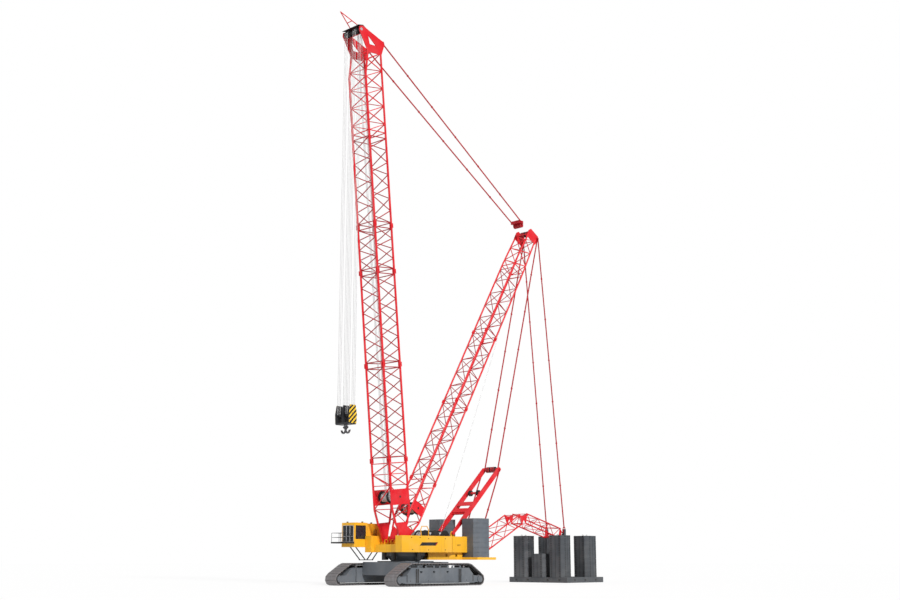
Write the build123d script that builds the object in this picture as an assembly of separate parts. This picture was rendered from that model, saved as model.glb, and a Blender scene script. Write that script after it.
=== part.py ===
from build123d import *
from math import asin, atan2, cos, degrees, hypot, pi, radians, sin, tan
import os

# Lattice-boom crawler crane with a superlift mast and a ballast tray: a model at half the
# size of the real machine. Millimetres, +X the way the boom faces, +Y the crane's left, +Z up.
# Pieces are drawn about the slew axis, then moved so that the origin is below the middle of
# the whole machine, on the ground.

# ---- driving dimensions -------------------------------------------------------------------
RUN = 0.3                 # running gap between a pin and its bore, or two turning faces
CLEAR = 8.0               # gap beside a piece that swings past another

# crawlers
TRACK_Y = 2650.0          # centre line of a crawler
SHOE_WIDTH = 1000.0
HUB_X = 3525.0            # axle of a sprocket or idler
NOSE_R = 385.0            # outside radius of the track round an axle
TOP_CORNER_X = 2560.0
TOP_Z = 1365.0            # top of the upper run
CORNER_R = 260.0
SHOES = 64
SHOE_SHARE = 0.86         # of the pitch, the rest is the gap between shoes
LUG = 34.0                # depth of that gap
BAND = 130.0              # shoe and chain together
FRAME_WIDTH = 860.0
FRAME_BOTTOM = 165.0
FRAME_TOP = 1075.0
FRAME_END_X = 3050.0
CHEEK = 60.0              # plate that carries an axle
HUB_R = 210.0
ROLLER_R = 75.0

# carbody and slewing ring
ARM_X = 1350.0
ARM_WIDTH = 620.0
ARM_BOTTOM = 620.0
CARBODY_TOP = 1490.0
CARBODY_HALF = 1250.0
RING_R = 1250.0
RING_FOOT_R = 900.0
RING_TOP = 2020.0

# superstructure
BOX_OUT = 1640.0          # outer face of a side box
BOX_WIDTH = 560.0
BOX_FRONT = 1950.0
BOX_REAR = -2500.0
BOX_TOP = 3025.0
RECESS_OUT = 1450.0
KEEL_HALF = 1140.0        # half width of the centre frame
KEEL_TOP = 2500.0
TAIL_X = -5950.0
TAIL_HALF = 640.0
BASE_BOTTOM = 1560.0      # underside of the counterweight base
BASE_TOP = 1720.0
BASE_HALF = 2300.0
DRIVE_R = 150.0
DRIVE_X = 1450.0          # distance of a slewing gearbox from the slew axis

# rear counterweights
STACK_X = -4900.0
STACK_Y = 1500.0
STACK_SIDE = 1500.0
STACK_CHAMFER = 270.0
STACK_TOP = 4200.0
STACK_SLABS = 8
SLAB_GROOVE = 14.0

# deck winches: centre x, centre z, flange radius, barrel radius
DECK_DRUMS = (("deck_drum_front", -1150.0, 3010.0),
              ("deck_drum_middle", -2050.0, 3010.0),
              ("deck_drum_rear", -2950.0, 3010.0))
DRUM_FLANGE_R = 400.0
DRUM_BARREL_R = 250.0
DRUM_HALF = 620.0
DRUM_SHAFT_R = 70.0
DRUM_FLANGE = 40.0
DRUM_STAND = 60.0

# cab
CAB_IN = -1660.0          # inner side face
CAB_OUT = -2840.0
CAB_FRONT = 2850.0
CAB_SPLIT = 1750.0        # back wall of the cab, front of the housing behind it
CAB_REAR = 450.0
CAB_FLOOR = 2540.0
CAB_TOP = 3840.0
CAB_WALL = 60.0
GLASS = 12.0
DOOR_THICK = 45.0
RAIL_TALL = 25.0          # the door's bottom rail
WALK_Z = 2650.0           # walkway level
WALK_FRONT = 3500.0
WALK_OUT = -3120.0
RAIL_TOP = 3200.0
RAIL_R = 14.0

# boom
BOOM_FOOT_X = 1050.0
BOOM_FOOT_Z = 2695.0
BOOM_ANGLE = 84.3         # from the level
BOOM_HALF_WIDTH = 797.0   # chord centre from the middle plane
BOOM_HALF_DEPTH = 730.0
BOOM_CHORD_R = 72.0
BOOM_LACE = 52.0
END_BAY = 190.0           # from a section's end to its cross bar
BOOM_BASE = 5020.0
BOOM_LONG = 6000.0
BOOM_SHORT = 3000.0
BOOM_TOP = 5800.0
BOOM_PIN_R = 90.0
FOOT_PLATE = 130.0
LUG_PLATE = 60.0

# boom head, from the foot of its own section
HEAD_SHEAVE_X = 900.0
HEAD_SHEAVE_Z = 6930.0
SHEAVE_R = 225.0
SHEAVE_PIN_R = 50.0
STAY_LUG_X = -1025.0
STAY_LUG_Z = 6380.0
STAY_PIN_R = 40.0
HEAD_PLATE = 50.0

# mast
MAST_FOOT_X = 700.0
MAST_FOOT_Z = 2720.0
MAST_ANGLE = 120.3
MAST_HALF_WIDTH = 600.0
MAST_HALF_DEPTH = 540.0
MAST_CHORD_R = 60.0
MAST_LACE = 44.0
MAST_BASE = 4400.0
MAST_LONG = 6000.0
MAST_TOP = 3300.0
MAST_PLATE = 50.0
MAST_FOOT_PLATE = 100.0
MAST_PIN_R = 70.0
MAST_STAY_X = -530.0      # stay pins, from the foot of the head section
MAST_STAY_Z = 3500.0

# stays and their block
STAY_DEEP = 90.0
STAY_THICK = 40.0
STAY_LINK = 3000.0
STAY_EYE_R = 80.0
MAST_STAY_Y = 653.0       # middle of a mast stay at the mast head
BLOCK_X = -11250.0
BLOCK_Z = 25850.0
BLOCK_STAY_Y = 425.0

# gantry
GANTRY_FOOT_X = -3650.0
GANTRY_FOOT_Z = 3250.0
GANTRY_TOP_X = -8200.0
GANTRY_TOP_Z = 7600.0
GANTRY_Y = 680.0
GANTRY_LEG = 150.0        # half depth of a leg
GANTRY_THICK = 120.0
GANTRY_PIN_R = 60.0
TIE_X = -5750.0           # lower end of the gantry's ties
TIE_Z = 2100.0

# hook
HOOK_Z = 10250.0          # middle of the hook block
BLOCK_HALF_WIDTH = 600.0
BLOCK_HALF_TALL = 560.0
BLOCK_PLATE = 60.0
ROPE_R = 11.0
ROPE_FALLS = (-520.0, -390.0, -260.0, 260.0, 390.0, 520.0)

# ballast tray
TRAY_X = -15150.0
TRAY_HALF_X = 2100.0
TRAY_HALF_Y = 2600.0
TRAY_TALL = 370.0
POST_Y = 800.0
POST_SIDE = 180.0
POST_PIN_Z = 3625.0
POST_PIN_R = 50.0
# column: centre x, centre y, size x, size y, top
TRAY_STACKS = ((-13550.0, 1640.0, 1050.0, 1350.0, 3250.0, 9),
               (-13550.0, -1640.0, 1050.0, 1350.0, 3250.0, 9),
               (-16450.0, 1640.0, 1300.0, 1350.0, 3250.0, 9),
               (-16450.0, -1640.0, 1300.0, 1350.0, 3250.0, 9),
               (-13550.0, 0.0, 1050.0, 1300.0, 2000.0, 5))

# guide frame between superstructure and tray
GUIDE_FOOT_X = -6230.0
GUIDE_FOOT_Z = 2150.0
KNEE_X = -10800.0
KNEE_Z = 4450.0
GUIDE_HALF_WIDTH = 680.0
GUIDE_HALF_DEPTH = 330.0
GUIDE_END = 360.0         # length of the plates at an arm's ends
GUIDE_PLATE = 40.0
GUIDE_PIN_R = 45.0
GUIDE_EYE_R = 95.0
ARM_PIN_Z = 3350.0        # outer arm's pin on the posts
SLOT_HALF = 150.0         # half length of the slots at the posts
SPARE_DOWN = 60.0         # half of the stay's slot below its pin
SLOT_SPARE = 25.0         # room beside a pin in its slot
GUIDE_CHORD_R = 45.0
GUIDE_LACE = 34.0


# ---- forms --------------------------------------------------------------------------------
def slab(x0, x1, y0, y1, z0, z1):
    """A box between two opposite corners."""
    return Pos((x0 + x1) / 2, (y0 + y1) / 2, (z0 + z1) / 2) * Box(x1 - x0, y1 - y0, z1 - z0)


def side_plate(points, y0, y1):
    """An outline of (x, z) points, solid from y0 to y1."""
    face = Face(Wire.make_polygon([(x, y0, z) for x, z in points], close=True))
    return Solid.extrude(face, Vector(0, y1 - y0, 0))


def plan_plate(points, z0, z1):
    """An outline of (x, y) points, solid from z0 to z1."""
    face = Face(Wire.make_polygon([(x, y, z0) for x, y in points], close=True))
    return Solid.extrude(face, Vector(0, 0, z1 - z0))


def rod(start, end, radius, sides=8):
    """A straight prism of so many sides between two points."""
    start, end = Vector(*start), Vector(*end)
    plane = Plane(origin=start, z_dir=end - start)
    corners = [plane.from_local_coords((radius * cos(2 * pi * (i + 0.5) / sides),
                                        radius * sin(2 * pi * (i + 0.5) / sides), 0))
               for i in range(sides)]
    return Solid.extrude(Face(Wire.make_polygon(corners, close=True)), end - start)


def bar(start, end, side):
    """A square bar between two points."""
    return rod(start, end, side / 2 * 2 ** 0.5, 4)


def cross_pin(x, y0, y1, z, radius):
    """A round pin along Y."""
    length = y1 - y0
    return Pos(x, (y0 + y1) / 2, z) * Rot(90, 0, 0) * Cylinder(radius, length)


def upright(x, y, z0, z1, radius):
    """A round post along Z."""
    return Pos(x, y, (z0 + z1) / 2) * Cylinder(radius, z1 - z0)


def fused(pieces):
    """One solid of pieces that run into each other."""
    pieces = [solid for piece in pieces for solid in piece.solids()]
    return pieces[0].fuse(*pieces[1:])


def both_sides(make):
    """The piece for the left side and for the right side."""
    return [make(1), make(-1)]


def corner(stations, index, z):
    """A chord's (x, y, z) at a height, from (z, x front, x rear, half width) stations."""
    for low, high in zip(stations, stations[1:]):
        if z <= high[0]:
            break
    share = (z - low[0]) / (high[0] - low[0])
    front, rear, half = (low[i] + share * (high[i] - low[i]) for i in (1, 2, 3))
    x = (rear, front, front, rear)[index]
    y = (-half, -half, half, half)[index]
    return (x, y, z)


def tower(stations, levels, chord_r, lace, cross=(0, -1), faces=(0, 1, 2, 3)):
    """A lattice of four chords, with one zigzag of lacing on each face between the levels."""
    pieces = []
    for index in range(4):
        for low, high in zip(stations, stations[1:]):
            pieces.append(rod(corner(stations, index, low[0]), corner(stations, index, high[0]),
                              chord_r))
    for face in faces:
        near, far = face, (face + 1) % 4
        for level in cross:
            pieces.append(bar(corner(stations, near, levels[level]),
                              corner(stations, far, levels[level]), lace))
        for step, (low, high) in enumerate(zip(levels, levels[1:])):
            first, second = (near, far) if (step + face) % 2 == 0 else (far, near)
            pieces.append(bar(corner(stations, first, low), corner(stations, second, high), lace))
    return pieces


def even_levels(first, last, bays):
    """Heights that part a stretch into equal bays."""
    return [first + (last - first) * i / bays for i in range(bays + 1)]


def drum(x, z, half, flange_r, barrel_r, shaft_r, shaft_half):
    """A rope drum on a shaft along Y."""
    parts = [cross_pin(x, -half, half, z, barrel_r), cross_pin(x, -shaft_half, shaft_half, z, shaft_r)]
    for side in (-1, 0, 1):
        middle = side * (half - DRUM_FLANGE / 2)
        parts.append(cross_pin(x, middle - DRUM_FLANGE / 2, middle + DRUM_FLANGE / 2, z, flange_r))
    return fused(parts)


# ---- crawlers -----------------------------------------------------------------------------
def track_path(inset):
    """The track's loop as four arcs (centre, radius, first and last angle) that lines join."""
    nose_r, top_r = NOSE_R - inset, CORNER_R - inset
    corner_z = TOP_Z - CORNER_R
    run, rise = HUB_X - TOP_CORNER_X, corner_z - NOSE_R
    normal = atan2(run, rise) + asin((nose_r - top_r) / hypot(run, rise))
    return ((HUB_X, NOSE_R, nose_r, -pi / 2, normal),
            (TOP_CORNER_X, corner_z, top_r, normal, pi / 2),
            (-TOP_CORNER_X, corner_z, top_r, pi / 2, pi - normal),
            (-HUB_X, NOSE_R, nose_r, pi - normal, 3 * pi / 2))


def track_point(arcs, distance):
    """Point and outward normal at a distance along the loop of arcs joined by lines."""
    ends = []
    for cx, cz, radius, start, stop in arcs:
        ends.append(((cx, cz, radius, start, stop), radius * (stop - start)))
    for index, (arc, length) in enumerate(ends):
        cx, cz, radius, start, stop = arc
        if distance <= length:
            angle = start + distance / radius
            return (cx + radius * cos(angle), cz + radius * sin(angle)), (cos(angle), sin(angle))
        distance -= length
        after = arcs[(index + 1) % len(arcs)]
        x0, z0 = cx + radius * cos(stop), cz + radius * sin(stop)
        x1, z1 = after[0] + after[2] * cos(after[3]), after[1] + after[2] * sin(after[3])
        line = hypot(x1 - x0, z1 - z0)
        if distance <= line:
            share = distance / line
            return (x0 + (x1 - x0) * share, z0 + (z1 - z0) * share), (cos(stop), sin(stop))
        distance -= line
    return track_point(arcs, distance)


def loop_length(arcs):
    """Length of the loop of arcs joined by lines."""
    total = 0.0
    for index, (cx, cz, radius, start, stop) in enumerate(arcs):
        after = arcs[(index + 1) % len(arcs)]
        x0, z0 = cx + radius * cos(stop), cz + radius * sin(stop)
        x1, z1 = after[0] + after[2] * cos(after[3]), after[1] + after[2] * sin(after[3])
        total += radius * (stop - start) + hypot(x1 - x0, z1 - z0)
    return total


def track(side):
    """One crawler's loop, with each shoe as a raised step in its outline."""
    arcs = track_path(0.0)
    pitch = loop_length(arcs) / SHOES
    outline = []
    for shoe in range(SHOES):
        for share, depth in ((0.0, LUG), (0.0, 0.0), (SHOE_SHARE, 0.0), (SHOE_SHARE, LUG)):
            (x, z), (nx, nz) = track_point(arcs, (shoe + share) * pitch)
            outline.append((x - nx * depth, max(z - nz * depth, 0.0)))
    y0 = side * TRACK_Y - SHOE_WIDTH / 2
    outer = side_plate(outline, y0, y0 + SHOE_WIDTH)
    inner = []
    for cx, cz, radius, start, stop in track_path(BAND):
        steps = 6
        reach = radius / cos((stop - start) / steps / 2)
        inner += [(cx + reach * cos(start + (stop - start) * (i + 0.5) / steps),
                   cz + reach * sin(start + (stop - start) * (i + 0.5) / steps)) for i in range(steps)]
    return outer - side_plate(inner, y0 - 1, y0 + SHOE_WIDTH + 1)


def crawler_frame(side):
    """A crawler's side frame, with openings above and cheeks at the ends for the axles."""
    y = side * TRACK_Y
    half = FRAME_WIDTH / 2
    bevel = 520.0
    outline = [(-FRAME_END_X, FRAME_BOTTOM), (FRAME_END_X, FRAME_BOTTOM),
               (FRAME_END_X, FRAME_TOP - bevel), (FRAME_END_X - bevel, FRAME_TOP),
               (bevel - FRAME_END_X, FRAME_TOP), (-FRAME_END_X, FRAME_TOP - bevel)]
    body = side_plate(outline, y - half, y + half)
    for x in (-1700.0, -600.0, 600.0, 1700.0):
        window = [(x - 110, FRAME_TOP - 190), (x + 110, FRAME_TOP - 190),
                  (x + 60, FRAME_TOP - 310), (x - 60, FRAME_TOP - 310)]
        body -= side_plate(window, y - half - 1, y + half + 1)
    pieces = [body]
    for end in (-1, 1):
        for face in (-1, 1):
            y0 = y + face * (half - CHEEK / 2) - CHEEK / 2
            cheek = side_plate([(end * (FRAME_END_X - 300), FRAME_BOTTOM), (end * HUB_X, NOSE_R - 160),
                                (end * (HUB_X + 140), NOSE_R), (end * HUB_X, NOSE_R + 160),
                                (end * (FRAME_END_X - 300), FRAME_TOP - bevel + 100)], y0, y0 + CHEEK)
            pieces.append(cheek)
        pieces.append(cross_pin(end * HUB_X, y + side * (half - CHEEK), y + side * (SHOE_WIDTH / 2 - 20),
                                NOSE_R, HUB_R) if side > 0 else
                      cross_pin(end * HUB_X, y - (SHOE_WIDTH / 2 - 20), y - (half - CHEEK), NOSE_R, HUB_R))
    return fused(pieces)


def track_wheels():
    """Sprockets, idlers and upper rollers inside both loops."""
    wheels = []
    wheel_r = NOSE_R - BAND - RUN
    wheel_half = FRAME_WIDTH / 2 - CHEEK
    for side in (-1, 1):
        for end in (-1, 1):
            wheels.append(cross_pin(end * HUB_X, side * TRACK_Y - wheel_half,
                                    side * TRACK_Y + wheel_half, NOSE_R, wheel_r))
        for x in (-2100.0, -700.0, 700.0, 2100.0):
            z = TOP_Z - BAND - RUN - ROLLER_R
            wheels.append(cross_pin(x, side * TRACK_Y - wheel_half, side * TRACK_Y + wheel_half,
                                    z, ROLLER_R))
            wheels[-1] = fused([wheels[-1], slab(x - 40, x + 40, side * TRACK_Y - wheel_half,
                                                 side * TRACK_Y + wheel_half, FRAME_TOP, z)])
    return wheels


def carbody():
    """Centre body with four arms to the crawlers and the fixed slewing ring."""
    reach = TRACK_Y - FRAME_WIDTH / 2
    pieces = [slab(-CARBODY_HALF, CARBODY_HALF, -CARBODY_HALF, CARBODY_HALF, ARM_BOTTOM, CARBODY_TOP)]
    for x in (-ARM_X, ARM_X):
        inside = TRACK_Y - SHOE_WIDTH / 2 - CLEAR
        pieces.append(slab(x - ARM_WIDTH / 2, x + ARM_WIDTH / 2, -inside, inside,
                           ARM_BOTTOM, CARBODY_TOP - 60))
        pieces.append(slab(x - ARM_WIDTH / 2, x + ARM_WIDTH / 2, -reach, reach,
                           ARM_BOTTOM, FRAME_TOP - 40))
    pieces.append(Pos(0, 0, (CARBODY_TOP + RING_TOP - 220) / 2)
                  * Cone(RING_FOOT_R, RING_R, RING_TOP - 220 - CARBODY_TOP))
    pieces.append(upright(0, 0, RING_TOP - 220, RING_TOP, RING_R))
    return fused(pieces)


# ---- superstructure -----------------------------------------------------------------------
def lug(x, z, y0, y1, bore, width, foot_z):
    """A plate that rises to a bored eye."""
    half = width / 2
    plate = side_plate([(x - half * 1.3, foot_z), (x + half * 1.3, foot_z), (x + half, z),
                        (x + half * 0.6, z + half * 0.8), (x - half * 0.6, z + half * 0.8),
                        (x - half, z)], y0, y1)
    return plate - cross_pin(x, y0 - 1, y1 + 1, z, bore)


def deck_frame():
    """Main frame of the superstructure: centre frame, two side boxes and the tail beam."""
    bottom = RING_TOP + RUN
    pieces = [slab(BOX_REAR, BOX_FRONT - 250, -KEEL_HALF, KEEL_HALF, bottom, KEEL_TOP),
              slab(TAIL_X, BOX_REAR, -TAIL_HALF, TAIL_HALF, BASE_TOP, KEEL_TOP)]
    for side in (-1, 1):
        inner = BOX_OUT - BOX_WIDTH
        outline = [(BOX_FRONT, side * inner), (BOX_FRONT, side * BOX_OUT),
                   (BOX_REAR, side * BOX_OUT), (BOX_REAR - 300, side * RECESS_OUT),
                   (-4140.0, side * RECESS_OUT), (-4140.0, side * inner)]
        pieces.append(plan_plate(outline, bottom, BOX_TOP))
        pieces.append(slab(BOX_REAR - 1640, BOX_REAR, min(side * TAIL_HALF, side * inner),
                           max(side * TAIL_HALF, side * inner), bottom, KEEL_TOP))
    return fused(pieces)


def deck_lugs():
    """Bored lugs on the deck for the boom's feet, the mast's feet and the gantry's feet."""
    solids = []
    for side in (-1, 1):
        for face in (-1, 1):
            middle = side * BOOM_HALF_WIDTH + face * (FOOT_PLATE / 2 + CLEAR + LUG_PLATE / 2)
            solids.append(lug(BOOM_FOOT_X, BOOM_FOOT_Z, middle - LUG_PLATE / 2,
                              middle + LUG_PLATE / 2, BOOM_PIN_R + RUN, 290.0, KEEL_TOP))
            middle = side * MAST_HALF_WIDTH + face * (MAST_FOOT_PLATE / 2 + CLEAR + LUG_PLATE / 2)
            solids.append(lug(MAST_FOOT_X, MAST_FOOT_Z, middle - LUG_PLATE / 2,
                              middle + LUG_PLATE / 2, MAST_PIN_R + RUN, 240.0, KEEL_TOP))
        middle = side * (GANTRY_Y - GANTRY_THICK / 2 - CLEAR - LUG_PLATE / 2)
        solids.append(lug(GANTRY_FOOT_X, GANTRY_FOOT_Z, middle - LUG_PLATE / 2,
                          middle + LUG_PLATE / 2, GANTRY_PIN_R + RUN, 300.0, KEEL_TOP))
    return solids


def counterweight_base():
    """The plate under the stacks with its side cheeks."""
    outline = [(-800.0, 1250.0), (-3900.0, 1250.0), (-4200.0, BASE_HALF), (TAIL_X - 50, BASE_HALF),
               (TAIL_X - 50, -BASE_HALF), (-4200.0, -BASE_HALF), (-3900.0, -1250.0), (-800.0, -1250.0)]
    plate = plan_plate(outline, BASE_BOTTOM, BASE_TOP) - upright(0, 0, BASE_BOTTOM - 1, BASE_TOP + 1, RING_R + 90)
    pieces = [plate]
    for side in (-1, 1):
        y0, y1 = sorted((side * 1250.0, side * 1170.0))
        cheek = slab(-3900.0, -800.0, y0, y1, BASE_TOP, RING_TOP + RUN)
        for x in (-2425.0, -3350.0):
            cheek -= slab(x - 90, x + 90, y0 - 1, y1 + 1, BASE_TOP + 30, BASE_TOP + 190)
        pieces.append(cheek)
    return fused(pieces)


def chamfered_square(cx, cy, size_x, size_y, chamfer):
    """Corners of a rectangle with cut corners."""
    hx, hy = size_x / 2, size_y / 2
    return [(cx + hx - chamfer, cy - hy), (cx + hx, cy - hy + chamfer), (cx + hx, cy + hy - chamfer),
            (cx + hx - chamfer, cy + hy), (cx - hx + chamfer, cy + hy), (cx - hx, cy + hy - chamfer),
            (cx - hx, cy - hy + chamfer), (cx - hx + chamfer, cy - hy)]


def weight_stack(cx, cy, size_x, size_y, chamfer, bottom, top, slabs):
    """A pile of slabs, parted by shallow grooves."""
    tall = (top - bottom) / slabs
    pieces = []
    for index in range(slabs):
        low = bottom + index * tall
        pieces.append(plan_plate(chamfered_square(cx, cy, size_x, size_y, chamfer),
                                 low, low + tall - SLAB_GROOVE))
        if index < slabs - 1:
            pieces.append(plan_plate(chamfered_square(cx, cy, size_x - 2 * SLAB_GROOVE,
                                                      size_y - 2 * SLAB_GROOVE, chamfer),
                                     low + tall - SLAB_GROOVE, low + tall))
    return fused(pieces)


def slew_drives():
    """Four gearboxes that hang from the deck beside the ring."""
    places = ((DRIVE_X, -420.0), (DRIVE_X, 420.0), (300.0, -DRIVE_X), (300.0, DRIVE_X))
    return [upright(x, y, CARBODY_TOP + 60, RING_TOP + RUN, DRIVE_R) for x, y in places]


def drum_stands():
    """Pairs of bearing plates for the deck winches."""
    solids = []
    for name, x, z in DECK_DRUMS:
        for side in (-1, 1):
            middle = side * (DRUM_HALF + CLEAR + DRUM_STAND / 2)
            solids.append(lug(x, z, middle - DRUM_STAND / 2, middle + DRUM_STAND / 2,
                              DRUM_SHAFT_R + RUN, 420.0, KEEL_TOP))
    return solids


# ---- cab ----------------------------------------------------------------------------------
def cab_shell():
    """Hollow operator's cab with window openings at the front, sides and roof."""
    outer = slab(CAB_SPLIT, CAB_FRONT, CAB_OUT, CAB_IN, CAB_FLOOR, CAB_TOP)
    inner = slab(CAB_SPLIT + CAB_WALL, CAB_FRONT - CAB_WALL, CAB_OUT + CAB_WALL, CAB_IN - CAB_WALL,
                 CAB_FLOOR + CAB_WALL, CAB_TOP - CAB_WALL)
    shell = outer - inner
    low, high = CAB_FLOOR + 300, CAB_TOP - 180
    shell -= slab(CAB_FRONT - CAB_WALL - 1, CAB_FRONT + 1, CAB_OUT + 90, CAB_IN - 90, low - 180, high)
    shell -= slab(CAB_SPLIT + 150, CAB_FRONT - 110, CAB_IN - CAB_WALL - 1, CAB_IN + 1, low, high)
    shell -= slab(CAB_SPLIT + 150, CAB_FRONT - 110, CAB_OUT - 1, CAB_OUT + CAB_WALL + 1,
                  WALK_Z + RAIL_TALL, high)
    return shell


def cab_glass():
    """Front and inner side panes, set inside their openings."""
    low, high = CAB_FLOOR + 300, CAB_TOP - 180
    front = slab(CAB_FRONT - 40, CAB_FRONT - 40 + GLASS, CAB_OUT + 90, CAB_IN - 90, low - 180, high)
    side = slab(CAB_SPLIT + 150, CAB_FRONT - 110, CAB_IN - 40, CAB_IN - 40 + GLASS, low, high)
    return [front, side]


def cab_door():
    """The sliding door leaf outside the cab's outer wall, with its window opening."""
    leaf = slab(CAB_SPLIT + 130, CAB_FRONT - 90, CAB_OUT - CLEAR - DOOR_THICK, CAB_OUT - CLEAR,
                WALK_Z + RAIL_TALL + RUN, CAB_TOP - 160)
    return leaf - slab(CAB_SPLIT + 210, CAB_FRONT - 170, CAB_OUT - 200, CAB_OUT,
                       WALK_Z + 400, CAB_TOP - 240)


def cab_door_glass():
    """The door's pane."""
    y1 = CAB_OUT - CLEAR - 15
    return slab(CAB_SPLIT + 210, CAB_FRONT - 170, y1 - GLASS, y1, WALK_Z + 400, CAB_TOP - 240)


def cab_seat():
    """Seat and console seen through the glass."""
    y = (CAB_IN + CAB_OUT) / 2
    floor = CAB_FLOOR + CAB_WALL
    return fused([slab(2050.0, 2350.0, y - 150, y + 150, floor, floor + 200),
                  slab(1980.0, 2450.0, y - 240, y + 240, floor + 200, floor + 300),
                  slab(1920.0, 2040.0, y - 220, y + 220, floor + 260, floor + 800)])


def cab_housing():
    """The closed housing behind the cab."""
    return slab(CAB_REAR, CAB_SPLIT, CAB_OUT, CAB_IN, CAB_FLOOR - 100, CAB_TOP - 40)


def cab_carrier():
    """Beams from the right side box that carry the cab and its walkway."""
    pieces = [slab(CAB_REAR, CAB_FRONT, CAB_OUT, -BOX_OUT, CAB_FLOOR - 200, CAB_FLOOR - 100)]
    pieces.append(slab(CAB_SPLIT, CAB_FRONT, CAB_OUT, CAB_IN, CAB_FLOOR - 100, CAB_FLOOR))
    return fused(pieces)


def walkway():
    """Platform before and outside the cab, with its handrail."""
    z0, z1 = WALK_Z - 90, WALK_Z
    pieces = [slab(CAB_FRONT, WALK_FRONT, WALK_OUT, CAB_IN, z0, z1),
              slab(CAB_REAR, CAB_FRONT, WALK_OUT, CAB_OUT, z0, z1),
              slab(CAB_REAR + 300, CAB_FRONT, CAB_OUT - CLEAR - DOOR_THICK, CAB_OUT - CLEAR,
                   z1 - 10, z1 + RAIL_TALL)]
    corners = [(CAB_REAR + 40, WALK_OUT + 30), (WALK_FRONT - 30, WALK_OUT + 30),
               (WALK_FRONT - 30, CAB_IN - 30)]
    for level in (RAIL_TOP, (RAIL_TOP + WALK_Z) / 2):
        for (xa, ya), (xb, yb) in zip(corners, corners[1:]):
            pieces.append(rod((xa, ya, level), (xb, yb, level), RAIL_R, 6))
    posts = [(CAB_REAR + 40 + (WALK_FRONT - CAB_REAR - 70) * i / 4, WALK_OUT + 30) for i in range(5)]
    posts += [(WALK_FRONT - 30, (WALK_OUT + CAB_IN) / 2), (WALK_FRONT - 30, CAB_IN - 30)]
    for x, y in posts:
        pieces.append(rod((x, y, z0 + 10), (x, y, RAIL_TOP), RAIL_R, 6))
    return fused(pieces)


def access_ladder():
    """The two raked legs and the low step that hang below the cab."""
    top, low = CAB_FLOOR - 200, BASE_BOTTOM
    pieces = []
    for y in (CAB_IN - 60, CAB_IN - 560):
        pieces.append(slab(2600.0, 2700.0, y - 25, y + 25, top - 20, top))
        pieces.append(slab(500.0, 600.0, y - 25, y + 25, top - 20, top))
        pieces.append(bar((2650.0, y, top - 20), (1850.0, y, low), 50))
        pieces.append(bar((550.0, y, top - 20), (1250.0, y, low), 50))
    pieces.append(slab(1200.0, 1900.0, CAB_IN - 600, CAB_IN - 20, low - 30, low + 20))
    return fused(pieces)


# ---- boom ---------------------------------------------------------------------------------
BOOM_SECTIONS = (("boom_section_lower", BOOM_BASE, BOOM_LONG, 8),
                 ("boom_section_middle", BOOM_BASE + BOOM_LONG, BOOM_LONG, 8),
                 ("boom_section_short", BOOM_BASE + 2 * BOOM_LONG, BOOM_SHORT, 4),
                 ("boom_section_upper", BOOM_BASE + 2 * BOOM_LONG + BOOM_SHORT, BOOM_LONG, 8))
BOOM_HEAD_START = BOOM_BASE + 3 * BOOM_LONG + BOOM_SHORT
DRUM_LEVEL = 2720.0


def boom_frame():
    """Placement of the boom: its Z runs from the foot to the head, its X to the front."""
    return Pos(BOOM_FOOT_X, 0, BOOM_FOOT_Z) * Rot(0, 90 - BOOM_ANGLE, 0)


def straight_section(length, bays, front, half, chord_r, lace):
    """A parallel lattice section, drawn from its lower end."""
    stations = ((0.0, front, -front, half), (length, front, -front, half))
    return fused(tower(stations, even_levels(END_BAY, length - END_BAY, bays), chord_r, lace))


def foot_plates(half_width, thick, pin_r, plate_top, top_half, eye_r):
    """Side plates that gather two chords into a foot with its pin."""
    pieces = []
    for side in (-1, 1):
        y = side * half_width
        outline = [(-eye_r, 0), (-top_half, plate_top), (top_half, plate_top), (eye_r, 0)]
        pieces.append(side_plate(outline, y - thick / 2, y + thick / 2))
        pieces.append(cross_pin(0, y - thick / 2, y + thick / 2, 0, eye_r))
        reach = thick / 2 + CLEAR + LUG_PLATE
        pieces.append(cross_pin(0, y - reach, y + reach, 0, pin_r))
    return pieces


def boom_base():
    """The tapered lowest section with its foot plates and winch bearings."""
    full = BOOM_HALF_DEPTH
    stations = ((1000.0, 470.0, -470.0, BOOM_HALF_WIDTH), (2000.0, full, -full, BOOM_HALF_WIDTH),
                (BOOM_BASE, full, -full, BOOM_HALF_WIDTH))
    levels = [1250.0, 2000.0, 3450.0, 4150.0, BOOM_BASE - END_BAY]
    pieces = tower(stations, levels, BOOM_CHORD_R, BOOM_LACE, cross=(1, 2, 4), faces=(1, 3))
    for side in (-1, 1):
        y = side * BOOM_HALF_WIDTH
        plate = side_plate([(-full, DRUM_LEVEL - 480), (full, DRUM_LEVEL - 480),
                            (full, DRUM_LEVEL + 480), (-full, DRUM_LEVEL + 480)], y - 25, y + 25)
        pieces.append(plate)
        pieces.append(bar((-full, y, 3350.0), (full, y, 4150.0), BOOM_LACE))
        pieces.append(bar((full, y, 4150.0), (-full, y, BOOM_BASE - END_BAY), BOOM_LACE))
        pieces.append(bar((full, y, BOOM_BASE - END_BAY), (-full, y, BOOM_BASE - END_BAY), BOOM_LACE))
        pieces.append(bar((full, y, 4150.0), (-full, y, 4150.0), BOOM_LACE))
    pieces += foot_plates(BOOM_HALF_WIDTH, FOOT_PLATE, BOOM_PIN_R, 1150.0, 500.0, 170.0)
    base = fused(pieces)
    return base - cross_pin(0, -BOOM_HALF_WIDTH - 100, BOOM_HALF_WIDTH + 100, DRUM_LEVEL,
                            DRUM_SHAFT_R + RUN)


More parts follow.
